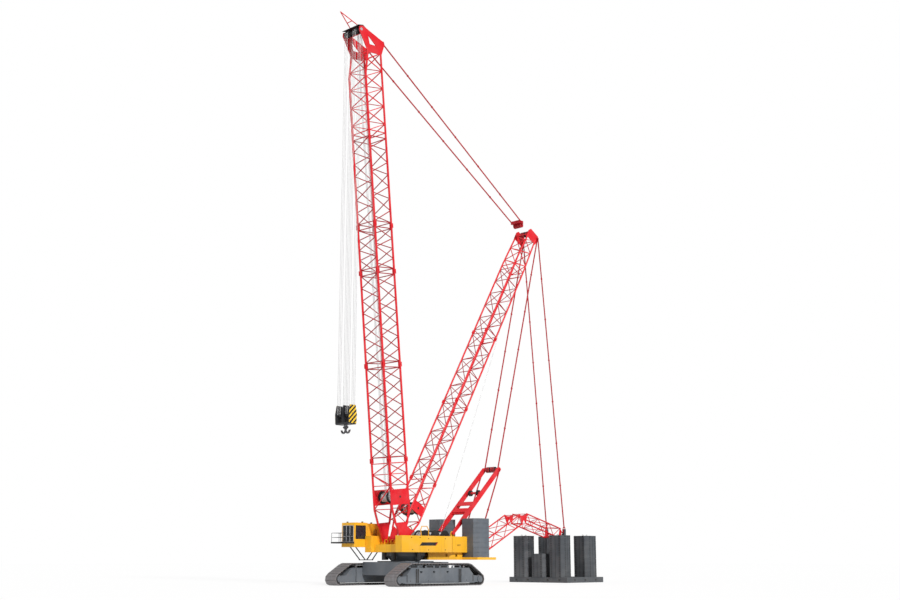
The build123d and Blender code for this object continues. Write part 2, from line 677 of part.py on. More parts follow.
def boom_head():
    """The top section with side plates for the sheave axle and the stays."""
    full = BOOM_HALF_DEPTH
    stations = ((0.0, full, -full, BOOM_HALF_WIDTH), (4000.0, full, -full, BOOM_HALF_WIDTH),
                (BOOM_TOP, 380.0, -full, BOOM_HALF_WIDTH))
    pieces = tower(stations, even_levels(END_BAY, BOOM_TOP - END_BAY, 9), BOOM_CHORD_R, BOOM_LACE)
    outline = [(-full - 60, BOOM_TOP - 300), (STAY_LUG_X - 110, STAY_LUG_Z - 80),
               (STAY_LUG_X - 60, STAY_LUG_Z + 110), (STAY_LUG_X + 110, STAY_LUG_Z + 130),
               (HEAD_SHEAVE_X - 160, HEAD_SHEAVE_Z + 270), (HEAD_SHEAVE_X + 130, HEAD_SHEAVE_Z + 190),
               (HEAD_SHEAVE_X + 190, HEAD_SHEAVE_Z - 60), (420.0, BOOM_TOP - 300)]
    hole = [(-330.0, BOOM_TOP + 250), (230.0, BOOM_TOP + 250), (330.0, BOOM_TOP + 850)]
    for side in (-1, 1):
        y = side * BOOM_HALF_WIDTH
        plate = side_plate(outline, y - HEAD_PLATE / 2, y + HEAD_PLATE / 2)
        plate -= side_plate(hole, y - HEAD_PLATE, y + HEAD_PLATE)
        plate -= cross_pin(HEAD_SHEAVE_X, y - HEAD_PLATE, y + HEAD_PLATE, HEAD_SHEAVE_Z,
                           SHEAVE_PIN_R + RUN)
        plate -= cross_pin(STAY_LUG_X, y - HEAD_PLATE, y + HEAD_PLATE, STAY_LUG_Z, STAY_PIN_R + RUN)
        pieces.append(plate)
    reach = BOOM_HALF_WIDTH
    pieces.append(slab(300.0, 420.0, -reach, reach, HEAD_SHEAVE_Z + 20, HEAD_SHEAVE_Z + 120))
    pieces.append(slab(-700.0, -560.0, -reach, reach, BOOM_TOP + 100, BOOM_TOP + 200))
    head = fused(pieces)
    return head


def boom_tip():
    """The small lattice that stands on the head's front."""
    base_z = HEAD_SHEAVE_Z + 120
    apex = (1915.0, 0.0, HEAD_SHEAVE_Z + 1200)
    pieces = [bar((360.0, y, base_z + 22), apex, 44) for y in (-500.0, 500.0)]
    pieces.append(slab(320.0, 400.0, -560.0, 560.0, base_z, base_z + 50))
    pieces.append(bar((1137.0, -250.0, base_z + 562), (1137.0, 250.0, base_z + 562), 40))
    return fused(pieces)


def head_sheaves():
    """The roll of hoist sheaves on its axle."""
    pieces = [cross_pin(HEAD_SHEAVE_X, -BOOM_HALF_WIDTH - HEAD_PLATE / 2,
                        BOOM_HALF_WIDTH + HEAD_PLATE / 2, HEAD_SHEAVE_Z, SHEAVE_PIN_R)]
    for y in ROPE_FALLS:
        pieces.append(cross_pin(HEAD_SHEAVE_X, y - 40, y + 40, HEAD_SHEAVE_Z, SHEAVE_R))
    pieces.append(cross_pin(HEAD_SHEAVE_X, -BOOM_HALF_WIDTH + HEAD_PLATE / 2 + CLEAR,
                            BOOM_HALF_WIDTH - HEAD_PLATE / 2 - CLEAR, HEAD_SHEAVE_Z, 110.0))
    return fused(pieces)


# ---- hook ---------------------------------------------------------------------------------
def head_axle():
    """Where the sheave axle stands in the crane's frame."""
    place = boom_frame() * Pos(HEAD_SHEAVE_X, 0, BOOM_HEAD_START + HEAD_SHEAVE_Z)
    return place.position


def hoist_ropes():
    """The falls of rope between the boom's sheaves and the hook block's."""
    axle = head_axle()
    offset = SHEAVE_R + ROPE_R * cos(pi / 6) + RUN
    return [rod((axle.X + way * offset, y, HOOK_Z), (axle.X + way * offset, y, axle.Z), ROPE_R, 6)
            for y in ROPE_FALLS for way in (-1, 1)]


def hook_block():
    """The lower block: cheek plates, its sheaves' axle and the striped weights."""
    axle = head_axle()
    pieces = [cross_pin(axle.X, -BLOCK_HALF_WIDTH, BLOCK_HALF_WIDTH, HOOK_Z, SHEAVE_PIN_R)]
    for y in ROPE_FALLS:
        pieces.append(cross_pin(axle.X, y - 40, y + 40, HOOK_Z, SHEAVE_R))
    for y in (-BLOCK_HALF_WIDTH, 0.0, BLOCK_HALF_WIDTH):
        pieces.append(side_plate([(axle.X - 300, HOOK_Z - BLOCK_HALF_TALL),
                                  (axle.X + 300, HOOK_Z - BLOCK_HALF_TALL),
                                  (axle.X + 330, HOOK_Z), (axle.X + 220, HOOK_Z + BLOCK_HALF_TALL),
                                  (axle.X - 220, HOOK_Z + BLOCK_HALF_TALL), (axle.X - 330, HOOK_Z)],
                                 y - BLOCK_PLATE / 2, y + BLOCK_PLATE / 2))
    pieces.append(slab(axle.X - 300, axle.X + 300, -BLOCK_HALF_WIDTH, BLOCK_HALF_WIDTH,
                       HOOK_Z - BLOCK_HALF_TALL - 60, HOOK_Z - BLOCK_HALF_TALL + 60))
    return fused(pieces)


def ram_hook():
    """The double hook on its shank, turning below the block."""
    axle = head_axle()
    top = HOOK_Z - BLOCK_HALF_TALL - 60 - RUN
    pieces = [upright(axle.X, 0, top - 260, top, 110.0)]
    for way in (-1, 1):
        ring = Pos(axle.X, way * 190.0, top - 330) * Rot(0, 90, 0) * Torus(170.0, 62.0)
        opening = slab(axle.X - 200, axle.X + 200, min(way * 190, way * 420), max(way * 190, way * 420),
                       top - 330, top)
        pieces.append(ring - opening)
    return fused(pieces)


# ---- mast ---------------------------------------------------------------------------------
def mast_frame():
    """Placement of the mast: its Z runs from the foot to the head."""
    return Pos(MAST_FOOT_X, 0, MAST_FOOT_Z) * Rot(0, 90 - MAST_ANGLE, 0)


MAST_SECTIONS = (("mast_section_lower", MAST_BASE, MAST_LONG, 8),
                 ("mast_section_middle", MAST_BASE + MAST_LONG, MAST_LONG, 8),
                 ("mast_section_upper", MAST_BASE + 2 * MAST_LONG, MAST_LONG, 8))
MAST_HEAD_START = MAST_BASE + 3 * MAST_LONG
MAST_DRUM_LEVEL = 2350.0


def mast_base():
    """The lowest mast section with its feet."""
    full = MAST_HALF_DEPTH
    stations = ((750.0, 300.0, -300.0, MAST_HALF_WIDTH), (1600.0, full, -full, MAST_HALF_WIDTH),
                (MAST_BASE, full, -full, MAST_HALF_WIDTH))
    levels = [1000.0, 1700.0, 3000.0, 3600.0, MAST_BASE - END_BAY]
    pieces = tower(stations, levels, MAST_CHORD_R, MAST_LACE, cross=(1, 2, 4), faces=(1, 3))
    for side in (-1, 1):
        y = side * MAST_HALF_WIDTH
        pieces.append(side_plate([(-full, MAST_DRUM_LEVEL - 330), (full, MAST_DRUM_LEVEL - 330),
                                  (full, MAST_DRUM_LEVEL + 330), (-full, MAST_DRUM_LEVEL + 330)],
                                 y - 20, y + 20))
        pieces.append(bar((-full, y, 2700.0), (full, y, 3500.0), MAST_LACE))
        pieces.append(bar((full, y, 3500.0), (-full, y, MAST_BASE - END_BAY), MAST_LACE))
    pieces += foot_plates(MAST_HALF_WIDTH, MAST_FOOT_PLATE, MAST_PIN_R, 880.0, 330.0, 140.0)
    base = fused(pieces)
    return base - cross_pin(0, -MAST_HALF_WIDTH - 100, MAST_HALF_WIDTH + 100, MAST_DRUM_LEVEL,
                            DRUM_SHAFT_R + RUN)


def mast_head():
    """The top section with side plates for the stays' pins and the luffing sheaves."""
    full = MAST_HALF_DEPTH
    stations = ((0.0, full, -full, MAST_HALF_WIDTH), (2 * END_BAY, full, -full, MAST_HALF_WIDTH),
                (MAST_TOP, full - 120, 120 - full, MAST_HALF_WIDTH))
    pieces = tower(stations, even_levels(END_BAY, MAST_TOP - 100, 5), MAST_CHORD_R, MAST_LACE)
    outline = [(-full - 20, MAST_TOP - 350), (-full - 110, MAST_TOP + 200), (-full + 20, MAST_TOP + 420),
               (full - 160, MAST_TOP + 420), (full - 20, MAST_TOP + 200), (full - 20, MAST_TOP - 350)]
    for side in (-1, 1):
        y = side * MAST_HALF_WIDTH
        pieces.append(side_plate(outline, y - MAST_PLATE / 2, y + MAST_PLATE / 2))
    pieces.append(cross_pin(100.0, -MAST_HALF_WIDTH, MAST_HALF_WIDTH, MAST_TOP + 240, 60.0))
    for side in (-1, 1):
        y0, y1 = sorted((side * MAST_HALF_WIDTH, side * (MAST_STAY_Y + 2 * STAY_THICK + 2 * CLEAR)))
        pieces.append(cross_pin(MAST_STAY_X, y0, y1, MAST_STAY_Z, STAY_PIN_R))
    for y in (-360.0, -240.0, -120.0, 120.0, 240.0, 360.0):
        pieces.append(cross_pin(100.0, y - 40, y + 40, MAST_TOP + 240, 200.0))
    return fused(pieces)


# ---- put together -------------------------------------------------------------------------
def on_boom(piece, start=0.0):
    """A piece drawn in the boom's own frame, moved to its place."""
    place = boom_frame() * Pos(0, 0, start)
    return [place * solid for solid in (piece if isinstance(piece, list) else [piece])]


def on_mast(piece, start=0.0):
    """A piece drawn in the mast's own frame, moved to its place."""
    place = mast_frame() * Pos(0, 0, start)
    return [place * solid for solid in (piece if isinstance(piece, list) else [piece])]


# ---- stays --------------------------------------------------------------------------------
def stay(start, end, bore_start=0.0, bore_end=0.0, slot=0.0):
    """A chain of flat links between two points, with an eye at each pin."""
    start, end = Vector(*start), Vector(*end)
    along = end - start
    links = max(1, round(along.length / STAY_LINK))
    rise = degrees(atan2(along.Z, along.X))
    pieces = []
    for index in range(links):
        low, high = start + along * (index / links), start + along * ((index + 1) / links)
        middle = (low + high) * 0.5
        turn = Pos(*middle) * Rot(0, -rise, 0)
        skew = degrees(atan2(along.Y, hypot(along.X, along.Z)))
        pieces.append(turn * Rot(0, 0, skew) * Box((high - low).length, STAY_THICK, STAY_DEEP))
    for index in range(links + 1):
        eye = start + along * (index / links)
        pieces.append(cross_pin(eye.X, eye.Y - STAY_THICK / 2, eye.Y + STAY_THICK / 2, eye.Z, STAY_EYE_R))
    chain = fused(pieces)
    if bore_start:
        chain -= cross_pin(start.X, start.Y - 50, start.Y + 50, start.Z, bore_start)
    if bore_end:
        chain -= cross_pin(end.X, end.Y - 50, end.Y + 50, end.Z, bore_end)
    return chain


def boom_stay_lug():
    """Where the stays' lug stands in the crane's frame."""
    return (boom_frame() * Pos(STAY_LUG_X, 0, BOOM_HEAD_START + STAY_LUG_Z)).position


def boom_stays():
    """Both chains from the boom head to the luffing block."""
    eye = boom_stay_lug()
    y = BOOM_HALF_WIDTH - HEAD_PLATE / 2 - CLEAR - STAY_THICK / 2
    solids = []
    for side in (-1, 1):
        chain = stay((eye.X, side * y, eye.Z), (BLOCK_X, side * BLOCK_STAY_Y, BLOCK_Z))
        y0, y1 = sorted((side * y, side * (BOOM_HALF_WIDTH + HEAD_PLATE / 2)))
        solids.append(fused([chain, cross_pin(eye.X, y0, y1, eye.Z, STAY_PIN_R)]))
    return solids


def luffing_block():
    """The block that the boom's luffing ropes run through, held by the stays' ends."""
    half = BLOCK_STAY_Y - STAY_THICK / 2
    pieces = [slab(BLOCK_X - 260, BLOCK_X + 200, -half, half, BLOCK_Z - 110, BLOCK_Z + 110),
              cross_pin(BLOCK_X - 160, -half, half, BLOCK_Z - 200, 40.0)]
    for y in (-300.0, -180.0, -60.0, 60.0, 180.0, 300.0):
        pieces.append(cross_pin(BLOCK_X - 160, y - 40, y + 40, BLOCK_Z - 200, 180.0))
    return fused(pieces)


def mast_pin():
    """Where the stays' pins stand on the mast head, in the crane's frame."""
    return (mast_frame() * Pos(MAST_STAY_X, 0, MAST_HEAD_START + MAST_STAY_Z)).position


def mast_stays():
    """Both chains from the mast head to the top of the gantry."""
    pin = mast_pin()
    return [stay((pin.X, side * MAST_STAY_Y, pin.Z),
                 (GANTRY_TOP_X, side * (GANTRY_Y - GANTRY_THICK / 2 - STAY_THICK / 2 - CLEAR), GANTRY_TOP_Z),
                 STAY_PIN_R + RUN, GANTRY_PIN_R + RUN) for side in (-1, 1)]


def tray_stays():
    """Both chains from the mast head to the tray's posts, with slotted lower links."""
    pin = mast_pin()
    y = MAST_STAY_Y + STAY_THICK + CLEAR
    solids = []
    for side in (-1, 1):
        chain = stay((pin.X, side * y, pin.Z), (TRAY_X, side * POST_Y, POST_PIN_Z + SLOT_HALF + 30),
                     STAY_PIN_R + RUN)
        half = POST_PIN_R + SLOT_SPARE
        y0, y1 = side * POST_Y - STAY_THICK / 2, side * POST_Y + STAY_THICK / 2
        link = slab(TRAY_X - half - 45, TRAY_X + half + 45, y0, y1,
                    POST_PIN_Z - 3 * SPARE_DOWN, POST_PIN_Z + SLOT_HALF + 60)
        slot = slab(TRAY_X - half, TRAY_X + half, y0 - 1, y1 + 1,
                    POST_PIN_Z - 2 * SPARE_DOWN, POST_PIN_Z + SLOT_HALF)
        solids.append(fused([chain, link]) - slot)
    return solids


# ---- gantry -------------------------------------------------------------------------------
def gantry():
    """The raking frame that holds the mast stays, with its top axle and cross members."""
    dx, dz = GANTRY_TOP_X - GANTRY_FOOT_X, GANTRY_TOP_Z - GANTRY_FOOT_Z
    length = hypot(dx, dz)
    nx, nz = -dz / length * GANTRY_LEG, dx / length * GANTRY_LEG
    pieces = []
    for side in (-1, 1):
        y0, y1 = side * GANTRY_Y - GANTRY_THICK / 2, side * GANTRY_Y + GANTRY_THICK / 2
        pieces.append(side_plate([(GANTRY_FOOT_X + nx / 2, GANTRY_FOOT_Z + nz / 2),
                                  (GANTRY_FOOT_X + dx * 0.2 + nx, GANTRY_FOOT_Z + dz * 0.2 + nz),
                                  (GANTRY_TOP_X + nx, GANTRY_TOP_Z + nz),
                                  (GANTRY_TOP_X - nx, GANTRY_TOP_Z - nz),
                                  (GANTRY_FOOT_X + dx * 0.2 - nx, GANTRY_FOOT_Z + dz * 0.2 - nz),
                                  (GANTRY_FOOT_X - nx / 2, GANTRY_FOOT_Z - nz / 2)], y0, y1))
        pieces.append(cross_pin(GANTRY_TOP_X, y0, y1, GANTRY_TOP_Z, GANTRY_LEG))
        pieces.append(cross_pin(GANTRY_FOOT_X, y0, y1, GANTRY_FOOT_Z, 110.0))
        inner = side * (GANTRY_Y - GANTRY_THICK / 2 - CLEAR - LUG_PLATE)
        a, b = sorted((inner, side * GANTRY_Y))
        pieces.append(cross_pin(GANTRY_FOOT_X, a, b, GANTRY_FOOT_Z, GANTRY_PIN_R))
    for share in (0.3, 0.62):
        x, z = GANTRY_FOOT_X + dx * share, GANTRY_FOOT_Z + dz * share
        pieces.append(cross_pin(x, -GANTRY_Y, GANTRY_Y, z, 80.0))
    pieces.append(cross_pin(GANTRY_TOP_X, -GANTRY_Y - 160, GANTRY_Y + 160, GANTRY_TOP_Z, GANTRY_PIN_R))
    for y in (-330.0, -210.0, -90.0, 90.0, 210.0, 330.0):
        pieces.append(cross_pin(GANTRY_TOP_X, y - 40, y + 40, GANTRY_TOP_Z, 190.0))
    return fused(pieces)


def gantry_ties():
    """Links from the gantry's top axle to the tail of the superstructure."""
    y = GANTRY_Y + GANTRY_THICK / 2 + CLEAR + STAY_THICK / 2
    return [stay((GANTRY_TOP_X, side * y, GANTRY_TOP_Z), (TIE_X, side * y, TIE_Z),
                 GANTRY_PIN_R + RUN, STAY_PIN_R + RUN) for side in (-1, 1)]


# ---- ballast tray and guide frame ---------------------------------------------------------
def tray_base():
    """The tray's plate with the two posts, their top ears and pins."""
    pieces = [slab(TRAY_X - TRAY_HALF_X, TRAY_X + TRAY_HALF_X, -TRAY_HALF_Y, TRAY_HALF_Y, 0, TRAY_TALL)]
    ear_in = STAY_THICK / 2 + RUN
    for side in (-1, 1):
        y = side * POST_Y
        pieces.append(slab(TRAY_X - POST_SIDE / 2, TRAY_X + POST_SIDE / 2, y - POST_SIDE / 2,
                           y + POST_SIDE / 2, TRAY_TALL - 10, ARM_PIN_Z - 60))
        for face in (-1, 1):
            y0, y1 = sorted((y + face * ear_in, y + face * POST_SIDE / 2))
            pieces.append(slab(TRAY_X - POST_SIDE / 2, TRAY_X + POST_SIDE / 2, y0, y1,
                               ARM_PIN_Z - 70, POST_PIN_Z + 80))
        pieces.append(cross_pin(TRAY_X, y - POST_SIDE / 2, y + POST_SIDE / 2, POST_PIN_Z, POST_PIN_R))
        inner = side * (outer_half() - GUIDE_PLATE / 2 - CLEAR)
        a, b = sorted((inner, side * (POST_Y - POST_SIDE / 2 + 10)))
        pieces.append(cross_pin(TRAY_X, a, b, ARM_PIN_Z, POST_PIN_R))
    return fused(pieces)


def outer_half():
    """Half width of the outer arm, which runs inside the inner arm's plates."""
    return GUIDE_HALF_WIDTH - GUIDE_PLATE - CLEAR


def arm_place(x, z, far_x, far_z):
    """Placement whose Z runs from one pin to the next, and the distance between them."""
    rise = degrees(atan2(far_z - z, far_x - x))
    return Pos(x, 0, z) * Rot(0, 90 - rise, 0), hypot(far_x - x, far_z - z)


def guide_arm(length, half, bays, slotted=False):
    """One lattice arm with plates and eyes at both ends."""
    deep = GUIDE_HALF_DEPTH
    stations = ((GUIDE_END - 60, deep, -deep, half), (length - GUIDE_END + 60, deep, -deep, half))
    pieces = tower(stations, even_levels(GUIDE_END, length - GUIDE_END, bays), GUIDE_CHORD_R, GUIDE_LACE)
    for side in (-1, 1):
        y0, y1 = side * half - GUIDE_PLATE / 2, side * half + GUIDE_PLATE / 2
        for end, way in ((0.0, 1), (length, -1)):
            pieces.append(side_plate([(-GUIDE_EYE_R, end), (GUIDE_EYE_R, end),
                                      (deep, end + way * GUIDE_END), (-deep, end + way * GUIDE_END)], y0, y1))
            pieces.append(cross_pin(0, y0, y1, end, GUIDE_EYE_R))
        if slotted:
            reach = SLOT_HALF + 50
            spread = POST_PIN_R + SLOT_SPARE + 45
            pieces.append(slab(-spread, spread, y0, y1, length - reach, length + reach))
    return fused(pieces)


def guide_inner():
    """The arm from the superstructure's tail to the knee."""
    place, length = arm_place(GUIDE_FOOT_X, GUIDE_FOOT_Z, KNEE_X, KNEE_Z)
    arm = guide_arm(length, GUIDE_HALF_WIDTH, 6)
    for side in (-1, 1):
        y = side * GUIDE_HALF_WIDTH
        arm -= cross_pin(0, y - 50, y + 50, length, GUIDE_PIN_R + RUN)
        a, b = sorted((y, side * (GUIDE_HALF_WIDTH - GUIDE_PLATE / 2 - CLEAR - LUG_PLATE)))
        arm = fused([arm, cross_pin(0, a, b, 0, GUIDE_PIN_R)])
    return place * arm


def guide_outer():
    """The arm from the knee to the tray's posts, slotted at the posts."""
    place, length = arm_place(KNEE_X, KNEE_Z, TRAY_X, ARM_PIN_Z)
    half = outer_half()
    arm = guide_arm(length, half, 6, slotted=True)
    room = POST_PIN_R + SLOT_SPARE
    for side in (-1, 1):
        y = side * half
        arm -= slab(-room, room, y - 50, y + 50, length - SLOT_HALF, length + SLOT_HALF)
        a, b = sorted((y, side * (GUIDE_HALF_WIDTH + GUIDE_PLATE / 2)))
        arm = fused([arm, cross_pin(0, a, b, 0, GUIDE_PIN_R)])
    return place * arm


def tail_fittings():
    """Bored lugs behind the tail for the guide frame, and pins for the gantry's ties."""
    solids = []
    for side in (-1, 1):
        middle = side * (GUIDE_HALF_WIDTH - GUIDE_PLATE / 2 - CLEAR - LUG_PLATE / 2)
        y0, y1 = middle - LUG_PLATE / 2, middle + LUG_PLATE / 2
        plate = side_plate([(TAIL_X, GUIDE_FOOT_Z - 200), (TAIL_X, GUIDE_FOOT_Z + 200),
                            (GUIDE_FOOT_X, GUIDE_FOOT_Z + 100), (GUIDE_FOOT_X - 100, GUIDE_FOOT_Z),
                            (GUIDE_FOOT_X, GUIDE_FOOT_Z - 100)], y0, y1)
        solids.append(plate - cross_pin(GUIDE_FOOT_X, y0 - 1, y1 + 1, GUIDE_FOOT_Z, GUIDE_PIN_R + RUN))
        reach = GANTRY_Y + GANTRY_THICK / 2 + 2 * CLEAR + STAY_THICK
        a, b = sorted((side * TAIL_HALF, side * reach))
        solids.append(cross_pin(TIE_X, a, b, TIE_Z, STAY_PIN_R))
    return solids


def tray_weights():
    """The piles of slabs on the tray."""
    return [weight_stack(x, y, size_x, size_y, 0.18 * size_x, TRAY_TALL, top, slabs)
            for x, y, size_x, size_y, top, slabs in TRAY_STACKS]


# ---- the whole machine --------------------------------------------------------------------
def machine():
    """Each node's name and its solids, about the slew axis."""
    nodes = {
        "carbody": carbody(),
        "crawler_frames": both_sides(crawler_frame),
        "track_left": track(1),
        "track_right": track(-1),
        "track_wheels": track_wheels(),
        "deck_frame": deck_frame(),
        "deck_lugs": deck_lugs(),
        "tail_fittings": tail_fittings(),
        "slew_drives": slew_drives(),
        "counterweight_base": counterweight_base(),
        "counterweights": [weight_stack(STACK_X, side * STACK_Y, STACK_SIDE, STACK_SIDE, STACK_CHAMFER,
                                        BASE_TOP, STACK_TOP, STACK_SLABS) for side in (1, -1)],
        "drum_stands": drum_stands(),
        "cab_carrier": cab_carrier(),
        "cab_shell": cab_shell(),
        "cab_glass": cab_glass(),
        "cab_seat": cab_seat(),
        "cab_door": cab_door(),
        "cab_door_glass": cab_door_glass(),
        "cab_housing": cab_housing(),
        "walkway": walkway(),
        "access_ladder": access_ladder(),
        "gantry": gantry(),
        "gantry_ties": gantry_ties(),
        "mast_base": on_mast(mast_base()),
        "mast_head": on_mast(mast_head(), MAST_HEAD_START),
        "mast_stays": mast_stays(),
        "tray_stays": tray_stays(),
        "boom_base": on_boom(boom_base()),
        "boom_head": on_boom(boom_head(), BOOM_HEAD_START),
        "boom_tip": on_boom(boom_tip(), BOOM_HEAD_START),
        "head_sheaves": on_boom(head_sheaves(), BOOM_HEAD_START),
        "boom_stays": boom_stays(),
        "luffing_block": luffing_block(),
        "hoist_ropes": hoist_ropes(),
        "hook_block": hook_block(),
        "ram_hook": ram_hook(),
        "tray_base": tray_base(),
        "tray_weights": tray_weights(),
        "guide_inner": guide_inner(),
        "guide_outer": guide_outer(),
        "boom_drum": on_boom(drum(0, DRUM_LEVEL, BOOM_HALF_WIDTH - 40, DRUM_FLANGE_R, DRUM_BARREL_R,
                                  DRUM_SHAFT_R, BOOM_HALF_WIDTH + 25)),
        "mast_drum": on_mast(drum(0, MAST_DRUM_LEVEL, MAST_HALF_WIDTH - 40, DRUM_FLANGE_R, DRUM_BARREL_R,
                                  DRUM_SHAFT_R, MAST_HALF_WIDTH + 20)),
    }
    for name, x, z in DECK_DRUMS:
        nodes[name] = drum(x, z, DRUM_HALF, DRUM_FLANGE_R, DRUM_BARREL_R, DRUM_SHAFT_R,
                           DRUM_HALF + CLEAR + DRUM_STAND)
    boom_long = straight_section(BOOM_LONG, 8, BOOM_HALF_DEPTH, BOOM_HALF_WIDTH, BOOM_CHORD_R, BOOM_LACE)
    boom_short = straight_section(BOOM_SHORT, 4, BOOM_HALF_DEPTH, BOOM_HALF_WIDTH, BOOM_CHORD_R, BOOM_LACE)
    for name, start, length, bays in BOOM_SECTIONS:
        nodes[name] = on_boom(boom_long if length == BOOM_LONG else boom_short, start)
    mast_long = straight_section(MAST_LONG, 8, MAST_HALF_DEPTH, MAST_HALF_WIDTH, MAST_CHORD_R, MAST_LACE)
    for name, start, length, bays in MAST_SECTIONS:
        nodes[name] = on_mast(mast_long, start)
    return nodes


def as_solids(made):
    """A node's solids, whether it was made as one shape or a list."""
    made = made if isinstance(made, list) else [made]
    return [solid for piece in made for solid in piece.solids()]


def main():
    """Builds every node, centres the footprint on the origin and writes the files."""
    os.makedirs("parts", exist_ok=True)
    nodes = {name: Compound(children=as_solids(made)) for name, made in machine().items()}
    boxes = [node.bounding_box() for node in nodes.values()]
    middle = (min(box.min.X for box in boxes) + max(box.max.X for box in boxes)) / 2
    print("slew axis at x =", round(-middle, 3))
    for name, node in nodes.items():
        export_step(node.moved(Location((-middle, 0, 0))), "parts/" + name + ".step")


main()
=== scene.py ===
"""Dresses the lattice-boom crawler crane: finishes, round lattice tubes, track shoes, ropes and fittings.

Everything is in metres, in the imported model's own frame. Sizes that the solids fix are written once, in
the class of the sub-assembly that they belong to, and are measured from the slew axis.
"""
from __future__ import annotations

import logging
import math
from dataclasses import dataclass, field
from enum import Enum
from typing import Iterable, Sequence

import bmesh
import bpy
from mathutils import Matrix, Vector

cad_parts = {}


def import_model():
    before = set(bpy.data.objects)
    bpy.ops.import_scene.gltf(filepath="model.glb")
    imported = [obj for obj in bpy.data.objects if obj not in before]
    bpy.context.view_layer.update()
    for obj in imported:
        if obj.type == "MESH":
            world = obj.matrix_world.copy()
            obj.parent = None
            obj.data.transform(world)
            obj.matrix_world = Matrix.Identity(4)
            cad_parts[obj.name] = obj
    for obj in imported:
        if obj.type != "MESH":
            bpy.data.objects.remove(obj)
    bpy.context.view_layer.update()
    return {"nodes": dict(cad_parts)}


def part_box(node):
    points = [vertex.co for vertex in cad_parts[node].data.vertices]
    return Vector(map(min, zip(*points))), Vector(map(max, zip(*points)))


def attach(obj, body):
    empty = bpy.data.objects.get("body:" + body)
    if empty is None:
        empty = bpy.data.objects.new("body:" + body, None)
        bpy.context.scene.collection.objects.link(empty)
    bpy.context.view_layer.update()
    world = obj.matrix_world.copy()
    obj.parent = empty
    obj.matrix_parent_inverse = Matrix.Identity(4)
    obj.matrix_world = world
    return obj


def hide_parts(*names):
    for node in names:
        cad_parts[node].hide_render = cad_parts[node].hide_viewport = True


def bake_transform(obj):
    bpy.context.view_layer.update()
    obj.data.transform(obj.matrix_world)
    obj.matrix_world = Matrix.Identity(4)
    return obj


LOG = logging.getLogger("crane")
Point = tuple[float, float, float]
Colour = tuple[float, float, float]


# ---- places -------------------------------------------------------------------------------
@dataclass(frozen=True)
class Stand:
    """An axis system that leans about Y: its Z runs along a boom, mast or arm.

    Attributes:
        x: Foot's distance in front of the slew axis.
        z: Foot's height above the ground.
        lean: Degrees that Z leans to the front.
        slew_x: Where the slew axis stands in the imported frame.
    """

    x: float
    z: float
    lean: float
    slew_x: float

    def at(self, x: float, y: float, z: float) -> Vector:
        """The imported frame's point for a point of this system."""
        turn = math.radians(self.lean)
        return Vector((self.slew_x + self.x + x * math.cos(turn) + z * math.sin(turn), y,
                       self.z - x * math.sin(turn) + z * math.cos(turn)))

    def turn(self) -> tuple[float, float, float]:
        """The system's turn as Euler angles."""
        return (0.0, math.radians(self.lean), 0.0)

    def matrix(self) -> Matrix:
        """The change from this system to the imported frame."""
        return (Matrix.Translation((self.slew_x + self.x, 0.0, self.z))
                @ Matrix.Rotation(math.radians(self.lean), 4, "Y"))


# ---- shader groups ------------------------------------------------------------------------
class Shader:
    """Makes nodes and links in one node tree, by short calls."""

    def __init__(self, tree: bpy.types.NodeTree) -> None:
        """Args:
            tree: The tree that gets the nodes.
        """
        self.tree = tree

    def node(self, kind: str, inputs: dict | None = None, **values: object) -> bpy.types.Node:
        """Adds a node.

        Args:
            kind: The node's type name.
            inputs: Sockets to link or to set, by name or index.
            values: Properties of the node.

        Returns:
            The new node.
        """
        made = self.tree.nodes.new(kind)
        for name, value in values.items():
            setattr(made, name, value)
        for name, value in (inputs or {}).items():
            socket = made.inputs[name]
            if isinstance(value, bpy.types.NodeSocket):
                self.tree.links.new(value, socket)
            else:
                socket.default_value = value
        return made

    def math(self, operation: str, a: object, b: object = 0.0, c: object = 0.0) -> bpy.types.NodeSocket:
        """The result of a Math node on sockets or numbers."""
        return self.node("ShaderNodeMath", {0: a, 1: b, 2: c}, operation=operation).outputs[0]

    def ramp(self, value: bpy.types.NodeSocket, low: float, high: float) -> bpy.types.NodeSocket:
        """A value stretched so that low gives 0 and high gives 1, with soft ends."""
        made = self.node("ShaderNodeMapRange", {"Value": value, "From Min": low, "From Max": high})
        made.interpolation_type = "SMOOTHSTEP"
        return made.outputs["Result"]

    def mix(self, share: object, a: object, b: object) -> bpy.types.NodeSocket:
        """Two colours mixed by a share.

        Args:
            share: 0 for the first colour, 1 for the second, as a number or a socket.
            a: The first colour, as a triple or a socket.
            b: The second colour.

        Returns:
            The mixed colour's socket.
        """
        made = self.node("ShaderNodeMix", data_type="RGBA")
        for index, value in ((0, share), (6, a), (7, b)):
            if isinstance(value, bpy.types.NodeSocket):
                self.tree.links.new(value, made.inputs[index])
            elif index == 0:
                made.inputs[index].default_value = value
            else:
                made.inputs[index].default_value = (*value, 1.0)
        return made.outputs[2]


def shader_group(name: str, inputs: dict[str, tuple[str, object]],
                 outputs: dict[str, str]) -> tuple[Shader, bpy.types.Node, bpy.types.Node]:
    """Makes an empty shader group with its sockets.

    Args:
        name: The group's name.
        inputs: Socket type and first value by name.
        outputs: Socket type by name.

    Returns:
        The tree's maker, its input node and its output node.
    """
    tree = bpy.data.node_groups.new(name, "ShaderNodeTree")
    for label, (kind, value) in inputs.items():
        socket = tree.interface.new_socket(label, in_out="INPUT", socket_type=kind)
        if value is not None:
            socket.default_value = value
    for label, kind in outputs.items():
        tree.interface.new_socket(label, in_out="OUTPUT", socket_type=kind)
    return Shader(tree), tree.nodes.new("NodeGroupInput"), tree.nodes.new("NodeGroupOutput")


